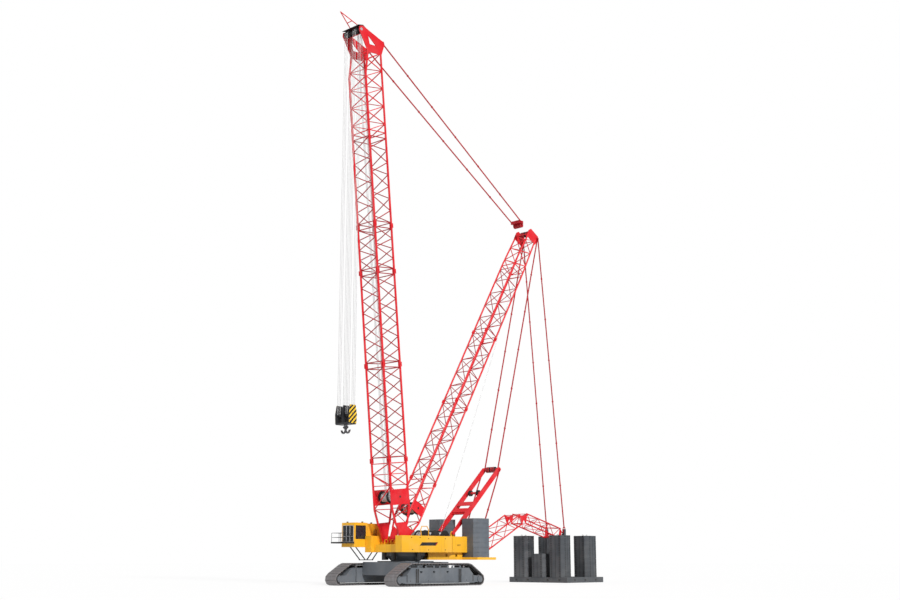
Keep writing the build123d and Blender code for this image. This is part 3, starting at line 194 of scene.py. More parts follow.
def weather_group() -> bpy.types.NodeTree:
    """Outdoor wear of a surface: faded patches, rain streaks, dust near the ground and small chips.

    Returns:
        The group, with Colour, Roughness and Height outputs.
    """
    number, colour = "NodeSocketFloat", "NodeSocketColor"
    shader, given, out = shader_group(
        "weather",
        {"Position": ("NodeSocketVector", None), "Colour": (colour, (0.5, 0.5, 0.5, 1.0)),
         "Undercoat": (colour, (0.1, 0.08, 0.07, 1.0)), "Roughness": (number, 0.4),
         "Fading": (number, 0.1), "Streaks": (number, 0.1), "Dust": (number, 0.2), "Chips": (number, 0.1)},
        {"Colour": colour, "Roughness": number, "Height": number})
    place = given.outputs["Position"]
    patches = shader.node("ShaderNodeTexNoise", {"Vector": place, "Scale": 1.1, "Detail": 4.0})
    stretch = shader.node("ShaderNodeMapping", {"Vector": place, "Scale": (9.0, 9.0, 0.7)})
    runs = shader.node("ShaderNodeTexNoise", {"Vector": stretch.outputs[0], "Scale": 1.0, "Detail": 3.0})
    grain = shader.node("ShaderNodeTexNoise", {"Vector": place, "Scale": 34.0, "Detail": 5.0,
                                               "Roughness": 0.62})
    split = shader.node("ShaderNodeSeparateXYZ", {"Vector": place})
    faded = shader.math("MULTIPLY", shader.ramp(patches.outputs[0], 0.38, 0.68), given.outputs["Fading"])
    streaked = shader.math("MULTIPLY", shader.ramp(runs.outputs[0], 0.5, 0.78), given.outputs["Streaks"])
    low = shader.ramp(split.outputs["Z"], 3.2, 0.0)
    dusty = shader.math("MULTIPLY", shader.math("MULTIPLY", low, shader.ramp(grain.outputs[0], 0.3, 0.75)),
                        given.outputs["Dust"])
    chipped = shader.math("MULTIPLY", shader.ramp(grain.outputs[0], 0.67, 0.72), given.outputs["Chips"])
    pale = shader.mix(faded, given.outputs["Colour"], (0.86, 0.84, 0.82))
    dirty = shader.mix(streaked, pale, (0.09, 0.075, 0.065))
    coated = shader.mix(dusty, dirty, (0.42, 0.37, 0.31))
    worn = shader.mix(chipped, coated, given.outputs["Undercoat"])
    rough = shader.math("ADD", given.outputs["Roughness"], shader.math("MULTIPLY", faded, 0.5))
    rough = shader.math("ADD", rough, shader.math("MULTIPLY", dusty, 0.35))
    height = shader.math("SUBTRACT", shader.math("MULTIPLY", grain.outputs[0], 0.35),
                         shader.math("MULTIPLY", chipped, 1.0))
    for label, value in (("Colour", worn), ("Roughness", rough), ("Height", height)):
        shader.tree.links.new(value, out.inputs[label])
    return shader.tree


def grain_group() -> bpy.types.NodeTree:
    """Rolled and handled bare metal: fine pits, dark oil and bright rubbed spots.

    Returns:
        The group, with Colour, Roughness and Height outputs.
    """
    number, colour = "NodeSocketFloat", "NodeSocketColor"
    shader, given, out = shader_group(
        "metal_grain",
        {"Position": ("NodeSocketVector", None), "Colour": (colour, (0.3, 0.3, 0.3, 1.0)),
         "Rust": (number, 0.1), "Rubbed": (number, 0.2), "Roughness": (number, 0.5)},
        {"Colour": colour, "Roughness": number, "Height": number})
    place = given.outputs["Position"]
    pits = shader.node("ShaderNodeTexVoronoi", {"Vector": place, "Scale": 55.0})
    clouds = shader.node("ShaderNodeTexNoise", {"Vector": place, "Scale": 4.0, "Detail": 6.0})
    rusty = shader.math("MULTIPLY", shader.ramp(clouds.outputs[0], 0.5, 0.7), given.outputs["Rust"])
    bright = shader.math("MULTIPLY", shader.ramp(clouds.outputs[0], 0.48, 0.3), given.outputs["Rubbed"])
    brown = shader.mix(rusty, given.outputs["Colour"], (0.19, 0.085, 0.04))
    shown = shader.mix(bright, brown, (0.6, 0.6, 0.62))
    rough = shader.math("SUBTRACT", given.outputs["Roughness"], shader.math("MULTIPLY", bright, 0.25))
    height = shader.math("MULTIPLY", shader.ramp(pits.outputs["Distance"], 0.0, 0.5), 0.5)
    for label, value in (("Colour", shown), ("Roughness", rough), ("Height", height)):
        shader.tree.links.new(value, out.inputs[label])
    return shader.tree


class SharedGroups:
    """The shader groups, each built once."""

    def __init__(self) -> None:
        """Builds both groups."""
        self.weather = weather_group()
        self.grain = grain_group()


# ---- finishes -----------------------------------------------------------------------------
@dataclass(frozen=True)
class Paint:
    """Sprayed paint on steel.

    Attributes:
        slot: The record's slot that it stands for.
        colour: Base colour.
        rough: Roughness of clean paint.
        fading: Strength of the pale patches.
        streaks: Strength of the dirt runs.
        dust: Dust near the ground.
        chips: Share of the undercoat in the chips.
        gloss: Strength of the reflection.
        stripes: Second colour of diagonal stripes, if it has them.
        stripe_pitch: Distance from one stripe to the next.
    """

    slot: str
    colour: Colour
    rough: float = 0.34
    fading: float = 0.10
    streaks: float = 0.16
    dust: float = 0.35
    chips: float = 0.3
    gloss: float = 0.35
    stripes: Colour | None = None
    stripe_pitch: float = 0.42

    def build(self, name: str, groups: SharedGroups) -> bpy.types.Material:
        """Makes the material.

        Args:
            name: The material's name.
            groups: The shared shader groups.

        Returns:
            The material.
        """
        made, shader, place, surface = new_material(name)
        colour: object = (*self.colour, 1.0)
        if self.stripes is not None:
            split = shader.node("ShaderNodeSeparateXYZ", {"Vector": place})
            slanted = shader.math("ADD", shader.math("ADD", split.outputs["X"], split.outputs["Y"]),
                                  split.outputs["Z"])
            band = shader.math("FRACT", shader.math("DIVIDE", slanted, self.stripe_pitch))
            colour = shader.mix(shader.math("GREATER_THAN", band, 0.5), self.colour, self.stripes)
        group = shader.node("ShaderNodeGroup", node_tree=groups.weather)
        link_in(shader, group, {"Position": place, "Colour": colour, "Roughness": self.rough,
                                "Fading": self.fading, "Streaks": self.streaks, "Dust": self.dust,
                                "Chips": self.chips})
        bump = shader.node("ShaderNodeBump", {"Height": group.outputs["Height"], "Strength": 0.12,
                                              "Distance": 0.004})
        link_in(shader, surface, {"Base Color": group.outputs["Colour"],
                                  "Roughness": group.outputs["Roughness"], "Normal": bump.outputs[0]})
        surface.inputs["Specular IOR Level"].default_value = self.gloss
        return made


@dataclass(frozen=True)
class BareMetal:
    """Cast or rolled steel that runs on other steel.

    Attributes:
        slot: The record's slot that it stands for.
        colour: Base colour.
        rough: Roughness of unrubbed metal.
        metallic: How metallic it is.
        rust: Strength of the rust clouds.
        rubbed: Strength of the bright spots.
    """

    slot: str
    colour: Colour
    rough: float = 0.55
    metallic: float = 0.6
    rust: float = 0.25
    rubbed: float = 0.35

    def build(self, name: str, groups: SharedGroups) -> bpy.types.Material:
        """Makes the material.

        Args:
            name: The material's name.
            groups: The shared shader groups.

        Returns:
            The material.
        """
        made, shader, place, surface = new_material(name)
        group = shader.node("ShaderNodeGroup", node_tree=groups.grain)
        link_in(shader, group, {"Position": place, "Colour": (*self.colour, 1.0), "Rust": self.rust,
                                "Rubbed": self.rubbed, "Roughness": self.rough})
        bump = shader.node("ShaderNodeBump", {"Height": group.outputs["Height"], "Strength": 0.3,
                                              "Distance": 0.003})
        link_in(shader, surface, {"Base Color": group.outputs["Colour"],
                                  "Roughness": group.outputs["Roughness"], "Normal": bump.outputs[0]})
        surface.inputs["Metallic"].default_value = self.metallic
        return made


@dataclass(frozen=True)
class WireRope:
    """Stranded steel rope, its lay drawn as slanted bands of height.

    Attributes:
        slot: The record's slot that it stands for.
        colour: Base colour.
        lay: Length of one turn of a strand.
    """

    slot: str
    colour: Colour
    lay: float = 0.09

    def build(self, name: str, groups: SharedGroups) -> bpy.types.Material:
        """Makes the material.

        Args:
            name: The material's name.
            groups: The shared shader groups.

        Returns:
            The material.
        """
        made, shader, place, surface = new_material(name)
        split = shader.node("ShaderNodeSeparateXYZ", {"Vector": place})
        along = shader.math("ADD", split.outputs["Z"], shader.math("MULTIPLY", split.outputs["X"], 2.0))
        strand = shader.math("SINE", shader.math("MULTIPLY", along, 2 * math.pi / self.lay))
        shade = shader.ramp(strand, -1.0, 1.0)
        group = shader.node("ShaderNodeGroup", node_tree=groups.grain)
        link_in(shader, group, {"Position": place, "Roughness": 0.5, "Rust": 0.05, "Rubbed": 0.15,
                                "Colour": shader.mix(shade, tuple(0.7 * part for part in self.colour),
                                                     self.colour)})
        bump = shader.node("ShaderNodeBump", {"Height": shade, "Strength": 0.6, "Distance": 0.004})
        link_in(shader, surface, {"Base Color": group.outputs["Colour"],
                                  "Roughness": group.outputs["Roughness"], "Normal": bump.outputs[0]})
        surface.inputs["Metallic"].default_value = 0.35
        return made


@dataclass(frozen=True)
class TintedGlass:
    """Laminated window glass.

    Attributes:
        slot: The record's slot that it stands for.
        colour: Tint.
    """

    slot: str
    colour: Colour

    def build(self, name: str, groups: SharedGroups) -> bpy.types.Material:
        """Makes the material.

        Args:
            name: The material's name.
            groups: The shared shader groups; not used.

        Returns:
            The material.
        """
        made, shader, place, surface = new_material(name)
        film = shader.node("ShaderNodeTexNoise", {"Vector": place, "Scale": 3.0, "Detail": 3.0})
        rough = shader.math("MULTIPLY", shader.ramp(film.outputs[0], 0.3, 0.8), 0.12)
        link_in(shader, surface, {"Roughness": shader.math("ADD", rough, 0.03)})
        surface.inputs["Base Color"].default_value = (*self.colour, 1.0)
        surface.inputs["Transmission Weight"].default_value = 0.75
        surface.inputs["IOR"].default_value = 1.45
        return made


@dataclass(frozen=True)
class Fabric:
    """Woven seat cloth.

    Attributes:
        slot: The record's slot that it stands for.
        colour: Thread colour.
    """

    slot: str
    colour: Colour

    def build(self, name: str, groups: SharedGroups) -> bpy.types.Material:
        """Makes the material.

        Args:
            name: The material's name.
            groups: The shared shader groups; not used.

        Returns:
            The material.
        """
        made, shader, place, surface = new_material(name)
        split = shader.node("ShaderNodeSeparateXYZ", {"Vector": place})
        threads = [shader.math("SINE", shader.math("MULTIPLY", split.outputs[axis], 900.0)) for axis in "XYZ"]
        weave = shader.math("MULTIPLY", threads[1], shader.math("ADD", threads[0], threads[2]))
        bump = shader.node("ShaderNodeBump", {"Height": weave, "Strength": 0.4, "Distance": 0.002})
        shade = tuple(0.6 * part for part in self.colour)
        shown = shader.mix(shader.ramp(weave, -2.0, 2.0), shade, self.colour)
        link_in(shader, surface, {"Base Color": shown, "Normal": bump.outputs[0]})
        surface.inputs["Roughness"].default_value = 0.85
        return made


def new_material(name: str) -> tuple[bpy.types.Material, Shader, bpy.types.NodeSocket, bpy.types.Node]:
    """Makes a material with its surface shader.

    Args:
        name: The material's name.

    Returns:
        The material, its maker, the Object coordinates and the surface shader.
    """
    made = bpy.data.materials.new(name)
    made.use_nodes = True
    made.node_tree.nodes.clear()
    shader = Shader(made.node_tree)
    surface = shader.node("ShaderNodeBsdfPrincipled")
    shader.node("ShaderNodeOutputMaterial", {"Surface": surface.outputs[0]})
    place = shader.node("ShaderNodeTexCoord").outputs["Object"]
    return made, shader, place, surface


def link_in(shader: Shader, node: bpy.types.Node, inputs: dict[str, object]) -> None:
    """Links or sets a node's inputs by name.

    Args:
        shader: The maker of the node's tree.
        node: The node.
        inputs: Sockets, numbers or colours by input name.
    """
    for name, value in inputs.items():
        if isinstance(value, bpy.types.NodeSocket):
            shader.tree.links.new(value, node.inputs[name])
        else:
            node.inputs[name].default_value = value


class Finish(Enum):
    """The crane's finishes."""

    YELLOW = Paint("yellow", (0.92, 0.47, 0.018), rough=0.38, fading=0.04, dust=0.12)
    RED = Paint("red", (0.72, 0.008, 0.018), rough=0.36, fading=0.03, dust=0.06, chips=0.15)
    # The red paint of RED, darkened as painted shade for the thin lacing, stays, ties and luffing block.
    DEEP_RED = Paint("red", (0.42, 0.006, 0.014), rough=0.4, fading=0.02, dust=0.05, chips=0.15)
    SLATE = Paint("slate", (0.112, 0.13, 0.152), rough=0.5, fading=0.04, dust=0.12)
    BALLAST = Paint("slate", (0.062, 0.071, 0.082), rough=0.6, fading=0.04, streaks=0.25, dust=0.1)
    STEEL = BareMetal("dark", (0.2, 0.19, 0.195), metallic=0.2, rust=0.08, rubbed=0.1)
    SILVER = BareMetal("dark", (0.5, 0.5, 0.52), rough=0.4, metallic=0.3, rust=0.0, rubbed=0.1)
    BLACK = Paint("dark", (0.014, 0.015, 0.017), rough=0.5, fading=0.02, dust=0.1)
    STRIPED = Paint("block", (0.88, 0.55, 0.03), stripes=(0.014, 0.014, 0.016), stripe_pitch=0.3)
    DARK_BLOCK = Paint("block", (0.02, 0.021, 0.024), rough=0.45, fading=0.02)
    HOOK = BareMetal("block", (0.09, 0.092, 0.1), rough=0.45)
    ROPE = WireRope("rope", (0.6, 0.6, 0.6))
    GLASS = TintedGlass("glass", (0.1, 0.11, 0.13))
    CLOTH = Fabric("seat", (0.05, 0.05, 0.055))


class Wardrobe:
    """Makes each finish's material once and dresses objects with it."""

    def __init__(self) -> None:
        """Builds the shared groups."""
        self.groups = SharedGroups()
        self.made: dict[Finish, bpy.types.Material] = {}

    def material(self, finish: Finish) -> bpy.types.Material:
        """The finish's material, made at its first use."""
        if finish not in self.made:
            self.made[finish] = finish.value.build("finish_" + finish.name.lower(), self.groups)
        return self.made[finish]

    def dress(self, thing: bpy.types.Object, finish: Finish) -> None:
        """Gives an object one finish."""
        thing.data.materials.clear()
        thing.data.materials.append(self.material(finish))


# ---- geometry nodes -----------------------------------------------------------------------
class NodeForm:
    """Two Geometry Nodes trees: round bars along edges, and copies of a piece on points."""

    def __init__(self, wardrobe: Wardrobe) -> None:
        """Args:
            wardrobe: Where the materials come from.
        """
        self.wardrobe = wardrobe
        self.bar_tree = self._bars()
        self.copy_tree = self._copies()

    @staticmethod
    def _tree(name: str, inputs: dict[str, str]) -> tuple[Shader, bpy.types.Node, bpy.types.Node]:
        """Makes an empty tree with a geometry in and out, and named inputs.

        Args:
            name: The tree's name.
            inputs: Each further input's name and socket type.

        Returns:
            The tree's maker, its input node and its output node.
        """
        tree = bpy.data.node_groups.new(name, "GeometryNodeTree")
        tree.interface.new_socket("Geometry", in_out="INPUT", socket_type="NodeSocketGeometry")
        for label, kind in inputs.items():
            tree.interface.new_socket(label, in_out="INPUT", socket_type=kind)
        tree.interface.new_socket("Geometry", in_out="OUTPUT", socket_type="NodeSocketGeometry")
        return Shader(tree), tree.nodes.new("NodeGroupInput"), tree.nodes.new("NodeGroupOutput")

    def _finish(self, maker: Shader, shape: bpy.types.NodeSocket, given: bpy.types.Node,
                out: bpy.types.Node) -> None:
        """Ends a tree in Realize Instances and Set Material.

        Args:
            maker: The tree's maker.
            shape: The geometry to end with.
            given: The tree's input node.
            out: The tree's output node.
        """
        real = maker.node("GeometryNodeRealizeInstances", {0: shape})
        painted = maker.node("GeometryNodeSetMaterial", {"Geometry": real.outputs[0],
                                                         "Material": given.outputs["Material"]})
        maker.tree.links.new(painted.outputs[0], out.inputs[0])

    def _bars(self) -> bpy.types.NodeTree:
        """Each run of edges becomes a round bar, as thick as its points' radius attribute says."""
        maker, given, out = self._tree("round_bars", {"Sides": "NodeSocketInt",
                                                      "Material": "NodeSocketMaterial"})
        curve = maker.node("GeometryNodeMeshToCurve", {0: given.outputs[0]})
        size = maker.node("GeometryNodeInputNamedAttribute", {"Name": "radius"}, data_type="FLOAT")
        thick = maker.node("GeometryNodeSetCurveRadius", {"Curve": curve.outputs[0],
                                                          "Radius": size.outputs["Attribute"]})
        ring = maker.node("GeometryNodeCurvePrimitiveCircle", {"Resolution": given.outputs["Sides"],
                                                               "Radius": 1.0})
        tube = maker.node("GeometryNodeCurveToMesh", {"Curve": thick.outputs[0],
                                                      "Profile Curve": ring.outputs[0], "Fill Caps": True})
        if "Scale" in tube.inputs:
            maker.tree.links.new(size.outputs["Attribute"], tube.inputs["Scale"])
        smooth = maker.node("GeometryNodeSetShadeSmooth", {0: tube.outputs[0], "Shade Smooth": False})
        self._finish(maker, smooth.outputs[0], given, out)
        return maker.tree

    def _copies(self) -> bpy.types.NodeTree:
        """A copy of the piece on each point, turned and scaled by its attributes."""
        maker, given, out = self._tree("copies", {"Piece": "NodeSocketObject",
                                                  "Material": "NodeSocketMaterial"})
        piece = maker.node("GeometryNodeObjectInfo", {"Object": given.outputs["Piece"]})
        turn = maker.node("GeometryNodeInputNamedAttribute", {"Name": "turn"}, data_type="FLOAT_VECTOR")
        size = maker.node("GeometryNodeInputNamedAttribute", {"Name": "size"}, data_type="FLOAT_VECTOR")
        euler = maker.node("FunctionNodeEulerToRotation", {0: turn.outputs["Attribute"]})
        put = maker.node("GeometryNodeInstanceOnPoints",
                         {"Points": given.outputs[0], "Instance": piece.outputs["Geometry"],
                          "Rotation": euler.outputs[0], "Scale": size.outputs["Attribute"]})
        self._finish(maker, put.outputs[0], given, out)
        return maker.tree

    def _run(self, name: str, mesh: bpy.types.Mesh, tree: bpy.types.NodeTree,
             inputs: dict[str, object]) -> bpy.types.Object:
        """Runs a tree on a mesh.

        Args:
            name: The new piece's name.
            mesh: Points or edges with their attributes.
            tree: The tree.
            inputs: The modifier's inputs by name.

        Returns:
            A plain mesh object with no modifier.
        """
        source = bpy.data.objects.new(name + "_source", mesh)
        bpy.context.scene.collection.objects.link(source)
        modifier = source.modifiers.new("form", "NODES")
        modifier.node_group = tree
        for socket in tree.interface.items_tree:
            if socket.name in inputs and socket.in_out == "INPUT":
                modifier[socket.identifier] = inputs[socket.name]
        evaluated = source.evaluated_get(bpy.context.evaluated_depsgraph_get())
        made = bpy.data.objects.new(name, bpy.data.meshes.new_from_object(evaluated))
        bpy.context.scene.collection.objects.link(made)
        source.modifiers.remove(modifier)
        bpy.data.objects.remove(source)
        return made

    def bars(self, name: str, runs: Sequence[tuple[Sequence[Vector], float]], finish: Finish,
             sides: int = 10) -> bpy.types.Object:
        """Round bars along runs of points.

        Args:
            name: The new piece's name.
            runs: Each bar's points and radius.
            finish: Its finish.
            sides: Sides of a bar.

        Returns:
            The bars as one mesh object.
        """
        verts: list[Vector] = []
        edges: list[tuple[int, int]] = []
        radii: list[float] = []
        for points, radius in runs:
            first = len(verts)
            verts += [Vector(point) for point in points]
            edges += [(first + i, first + i + 1) for i in range(len(points) - 1)]
            radii += [radius] * len(points)
        mesh = bpy.data.meshes.new(name + "_runs")
        mesh.from_pydata(verts, edges, [])
        mesh.attributes.new("radius", "FLOAT", "POINT").data.foreach_set("value", radii)
        return self._run(name, mesh, self.bar_tree,
                         {"Sides": sides, "Material": self.wardrobe.material(finish)})

    def copies(self, name: str, piece: bpy.types.Object,
               places: Sequence[tuple[Vector, Point, Point]], finish: Finish) -> bpy.types.Object:
        """Copies of a piece; the piece itself is removed.

        Args:
            name: The new piece's name.
            piece: The piece, drawn about the origin.
            places: Point, Euler turn and scale of each copy.
            finish: The copies' finish.

        Returns:
            The copies as one mesh object.
        """
        mesh = bpy.data.meshes.new(name + "_points")
        mesh.from_pydata([Vector(place[0]) for place in places], [], [])
        for label, index in (("turn", 1), ("size", 2)):
            attribute = mesh.attributes.new(label, "FLOAT_VECTOR", "POINT")
            attribute.data.foreach_set("vector", [part for place in places for part in place[index]])
        made = self._run(name, mesh, self.copy_tree,
                         {"Piece": piece, "Material": self.wardrobe.material(finish)})
        bpy.data.objects.remove(piece)
        return made


# ---- mesh making --------------------------------------------------------------------------
class Form:
    """Gathers simple solids into one mesh, drawn in a stand's own system."""

    def __init__(self, stand: Stand | None = None) -> None:
        """Args:
            stand: The system that it is drawn in, or none for a piece about the origin.
        """
        self.mesh = bmesh.new()
        self.stand = stand

    def block(self, low: Sequence[float], high: Sequence[float], turn: Matrix | None = None) -> Form:
        """Adds a box.

        Args:
            low: Its lowest corner.
            high: Its highest corner.
            turn: A matrix that moves it, if any.

        Returns:
            This form.
        """
        made = bmesh.ops.create_cube(self.mesh, size=1.0)["verts"]
        size = [high[i] - low[i] for i in range(3)]
        middle = Vector([(high[i] + low[i]) / 2 for i in range(3)])
        change = Matrix.Translation(middle) @ Matrix.Diagonal((*size, 1.0))
        bmesh.ops.transform(self.mesh, matrix=(turn or Matrix.Identity(4)) @ change, verts=made)
        return self

    def tube(self, start: Sequence[float], end: Sequence[float], radius: float, sides: int = 16,
             far_radius: float | None = None) -> Form:
        """Adds a capped tube or cone.

        Args:
            start: Middle of its first end.
            end: Middle of its other end.
            radius: Radius at the first end.
            sides: Number of flat sides.
            far_radius: Radius at the other end, if it differs.

        Returns:
            This form.
        """
        start, end = Vector(start), Vector(end)
        run = end - start
        turn = run.to_track_quat("Z", "Y").to_matrix().to_4x4()
        made = bmesh.ops.create_cone(self.mesh, segments=sides, cap_ends=True, radius1=radius,
                                     radius2=radius if far_radius is None else far_radius,
                                     depth=run.length)["verts"]
        bmesh.ops.transform(self.mesh, matrix=Matrix.Translation((start + end) / 2) @ turn, verts=made)
        return self

    def disc(self, x: float, z: float, radius: float, y0: float, y1: float, sides: int = 24) -> Form:
        """Adds a round piece that stands across the crane."""
        return self.tube((x, y0, z), (x, y1, z), radius, sides)

    def wheel(self, x: float, z: float, y: float, radius: float, half: float, groove: float) -> Form:
        """Adds a sheave: two rims about a smaller tread."""
        rim = half * 0.35
        self.disc(x, z, radius, y - half, y - half + rim)
        self.disc(x, z, radius - groove, y - half + rim, y + half - rim)
        return self.disc(x, z, radius, y + half - rim, y + half)

    def plate(self, outline: Sequence[tuple[float, float]], y0: float, y1: float) -> Form:
        """Adds an outline of (x, z) points as a plate from y0 to y1."""
        return self.prism([(x, y0, z) for x, z in outline], [(x, y1, z) for x, z in outline])

    def prism(self, near: Sequence[Point], far: Sequence[Point]) -> Form:
        """Adds the solid between two outlines with the same number of points.

        Args:
            near: Points of the first outline.
            far: Points of the other, in the same order.

        Returns:
            This form.
        """
        rows = [[self.mesh.verts.new(point) for point in side] for side in (near, far)]
        self.mesh.faces.new(rows[0])
        self.mesh.faces.new(reversed(rows[1]))
        for i in range(len(near)):
            j = (i + 1) % len(near)
            self.mesh.faces.new((rows[0][j], rows[0][i], rows[1][i], rows[1][j]))
        return self

    def done(self, name: str, wardrobe: Wardrobe, finish: Finish, bevel: float = 0.0) -> bpy.types.Object:
        """Turns what was gathered into an object.

        Args:
            name: The object's name.
            wardrobe: Where the material comes from.
            finish: The finish.
            bevel: Width of the bevel on all sharp edges.

        Returns:
            The object.
        """
        bmesh.ops.recalc_face_normals(self.mesh, faces=self.mesh.faces)
        if bevel:
            sharp = [edge for edge in self.mesh.edges if len(edge.link_faces) == 2
                     and edge.calc_face_angle(0.0) > 0.5]
            bmesh.ops.bevel(self.mesh, geom=sharp, offset=bevel, segments=1, affect="EDGES",
                            clamp_overlap=True)
        if self.stand is not None:
            bmesh.ops.transform(self.mesh, matrix=self.stand.matrix(), verts=self.mesh.verts)
        mesh = bpy.data.meshes.new(name)
        self.mesh.to_mesh(mesh)
        self.mesh.free()
        made = bpy.data.objects.new(name, mesh)
        bpy.context.scene.collection.objects.link(made)
        wardrobe.dress(made, finish)
        return made


# ---- sub-assemblies -----------------------------------------------------------------------
class SubAssembly:
    """What every sub-assembly shares: where materials and repeats come from, and how a piece is kept."""

    def __init__(self, wardrobe: Wardrobe, nodes: NodeForm, slew_x: float) -> None:
        """Args:
            wardrobe: Where materials come from.
            nodes: Where repeated pieces come from.
            slew_x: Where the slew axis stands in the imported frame.
        """
        self.wardrobe = wardrobe
        self.nodes = nodes
        self.slew_x = slew_x
        self.level = Stand(0.0, 0.0, 0.0, slew_x)

    def form(self) -> Form:
        """An empty form in the crane's own level system."""
        return Form(self.level)

    def settle(self, form: Form, name: str, body: str, finish: Finish, bevel: float = 0.0) -> None:
        """Turns a form into a finished piece that rides on a body."""
        self.keep(form.done(name, self.wardrobe, finish, bevel), body, finish)

    def keep(self, piece: bpy.types.Object, body: str, finish: Finish,
             stands_for: Iterable[str] = ()) -> bpy.types.Object:
        """Rides a finished piece on its body and reports it.

        Args:
            piece: The piece.
            body: The body that it moves with.
            finish: Its finish, which names its slot; not used.
            stands_for: Nodes that it is shown for.

        Returns:
            The piece.
        """
        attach(piece, body)
        if stands_for:
            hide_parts(*stands_for)
        LOG.info("%s: %d faces on %s", piece.name, len(piece.data.polygons), body)
        return piece


@dataclass(frozen=True)
class Tower:
    """A straight stretch of four-chord lattice.

    Attributes:
        node: The node that it is shown for.
        start: Distance of its lower end from the foot.
        length: Its length.
        bay: Its longest bay.
        front: Half depth.
        side: Half width.
        chord: Chord radius.
        lace: Lacing radius.
        battened: Whether it has cross bars at every level.
        end_bay: From an end to its cross bars.
    """

    node: str
    start: float
    length: float
    bay: float
    front: float
    side: float
    chord: float
    lace: float
    battened: bool = False
    end_bay: float = 0.19

    def corner(self, index: int, z: float) -> Point:
        """A chord's point at a height above the stretch's lower end."""
        return ((-self.front, self.front, self.front, -self.front)[index],
                (-self.side, -self.side, self.side, self.side)[index], self.start + z)

    def chords(self, stand: Stand) -> list[tuple[list[Vector], float]]:
        """The four chords, as their ends and radius."""
        return [([stand.at(*self.corner(index, 0.0)), stand.at(*self.corner(index, self.length))], self.chord)
                for index in range(4)]

    def lacing(self, stand: Stand) -> list[tuple[list[Vector], float]]:
        """Lays out the cross bars and diagonals of the four faces.

        Args:
            stand: The axis system of the section.

        Returns:
            Each bar's ends and radius.
        """
        span = self.length - 2 * self.end_bay
        bays = math.ceil(span / self.bay)
        levels = [self.end_bay + span * i / bays for i in range(bays + 1)]
        bars = []
        for face in range(4):
            near, far = face, (face + 1) % 4
            for level in levels if self.battened else (levels[0], levels[-1]):
                bars.append(([stand.at(*self.corner(near, level)), stand.at(*self.corner(far, level))],
                             self.lace))
            for step, (low, high) in enumerate(zip(levels, levels[1:])):
                first, second = (near, far) if step % 2 == 0 else (far, near)
                bars.append(([stand.at(*self.corner(first, low)), stand.at(*self.corner(second, high))],
                             self.lace))
        return bars

    def joints(self, stand: Stand) -> list[tuple[Vector, Point, Point]]:
        """Where the pin lugs stand at the stretch's lower end."""
        return [(stand.at(*self.corner(index, 0.0)), stand.turn(), (1.0, 1.0, 1.0)) for index in range(4)]


class Lattices(SubAssembly):
    """Round tubes and pin lugs of the boom's and the mast's straight sections; the lacing is in red darkened
    as painted shade.
    """

    def build(self, name: str, body: str, stand: Stand, towers: Sequence[Tower], lug: float) -> None:
        """Makes the tubes of each section and the lugs of them all.

        Args:
            name: Boom or mast.
            body: The body that they move with.
            stand: Their axis system.
            towers: The sections.
            lug: Size of a pin lug.
        """
        for tower in towers:
            tubes = self.nodes.bars(tower.node + "_chords", tower.chords(stand), Finish.RED, 12)
            self.keep(tubes, body, Finish.RED, (tower.node,))
            # The lacing is in the red that is darkened as painted shade.
            lacing = self.nodes.bars(tower.node + "_lacing", tower.lacing(stand), Finish.DEEP_RED)
            self.keep(lacing, body, Finish.DEEP_RED)
        pair = Form()
        for side in (-1, 1):
            pair.block((-lug, side * lug * 0.62 - lug * 0.12, -lug * 1.5),
                       (lug, side * lug * 0.62 + lug * 0.12, lug * 1.5))
        pair.tube((0.0, -lug * 1.15, 0.0), (0.0, lug * 1.15, 0.0), lug * 0.42, 12)
        shape = pair.done(name + "_lug", self.wardrobe, Finish.RED)
        places = [place for tower in towers for place in tower.joints(stand)]
        lugs = self.nodes.copies(name + "_pin_lugs", shape, places, Finish.RED)
        self.keep(lugs, body, Finish.RED)


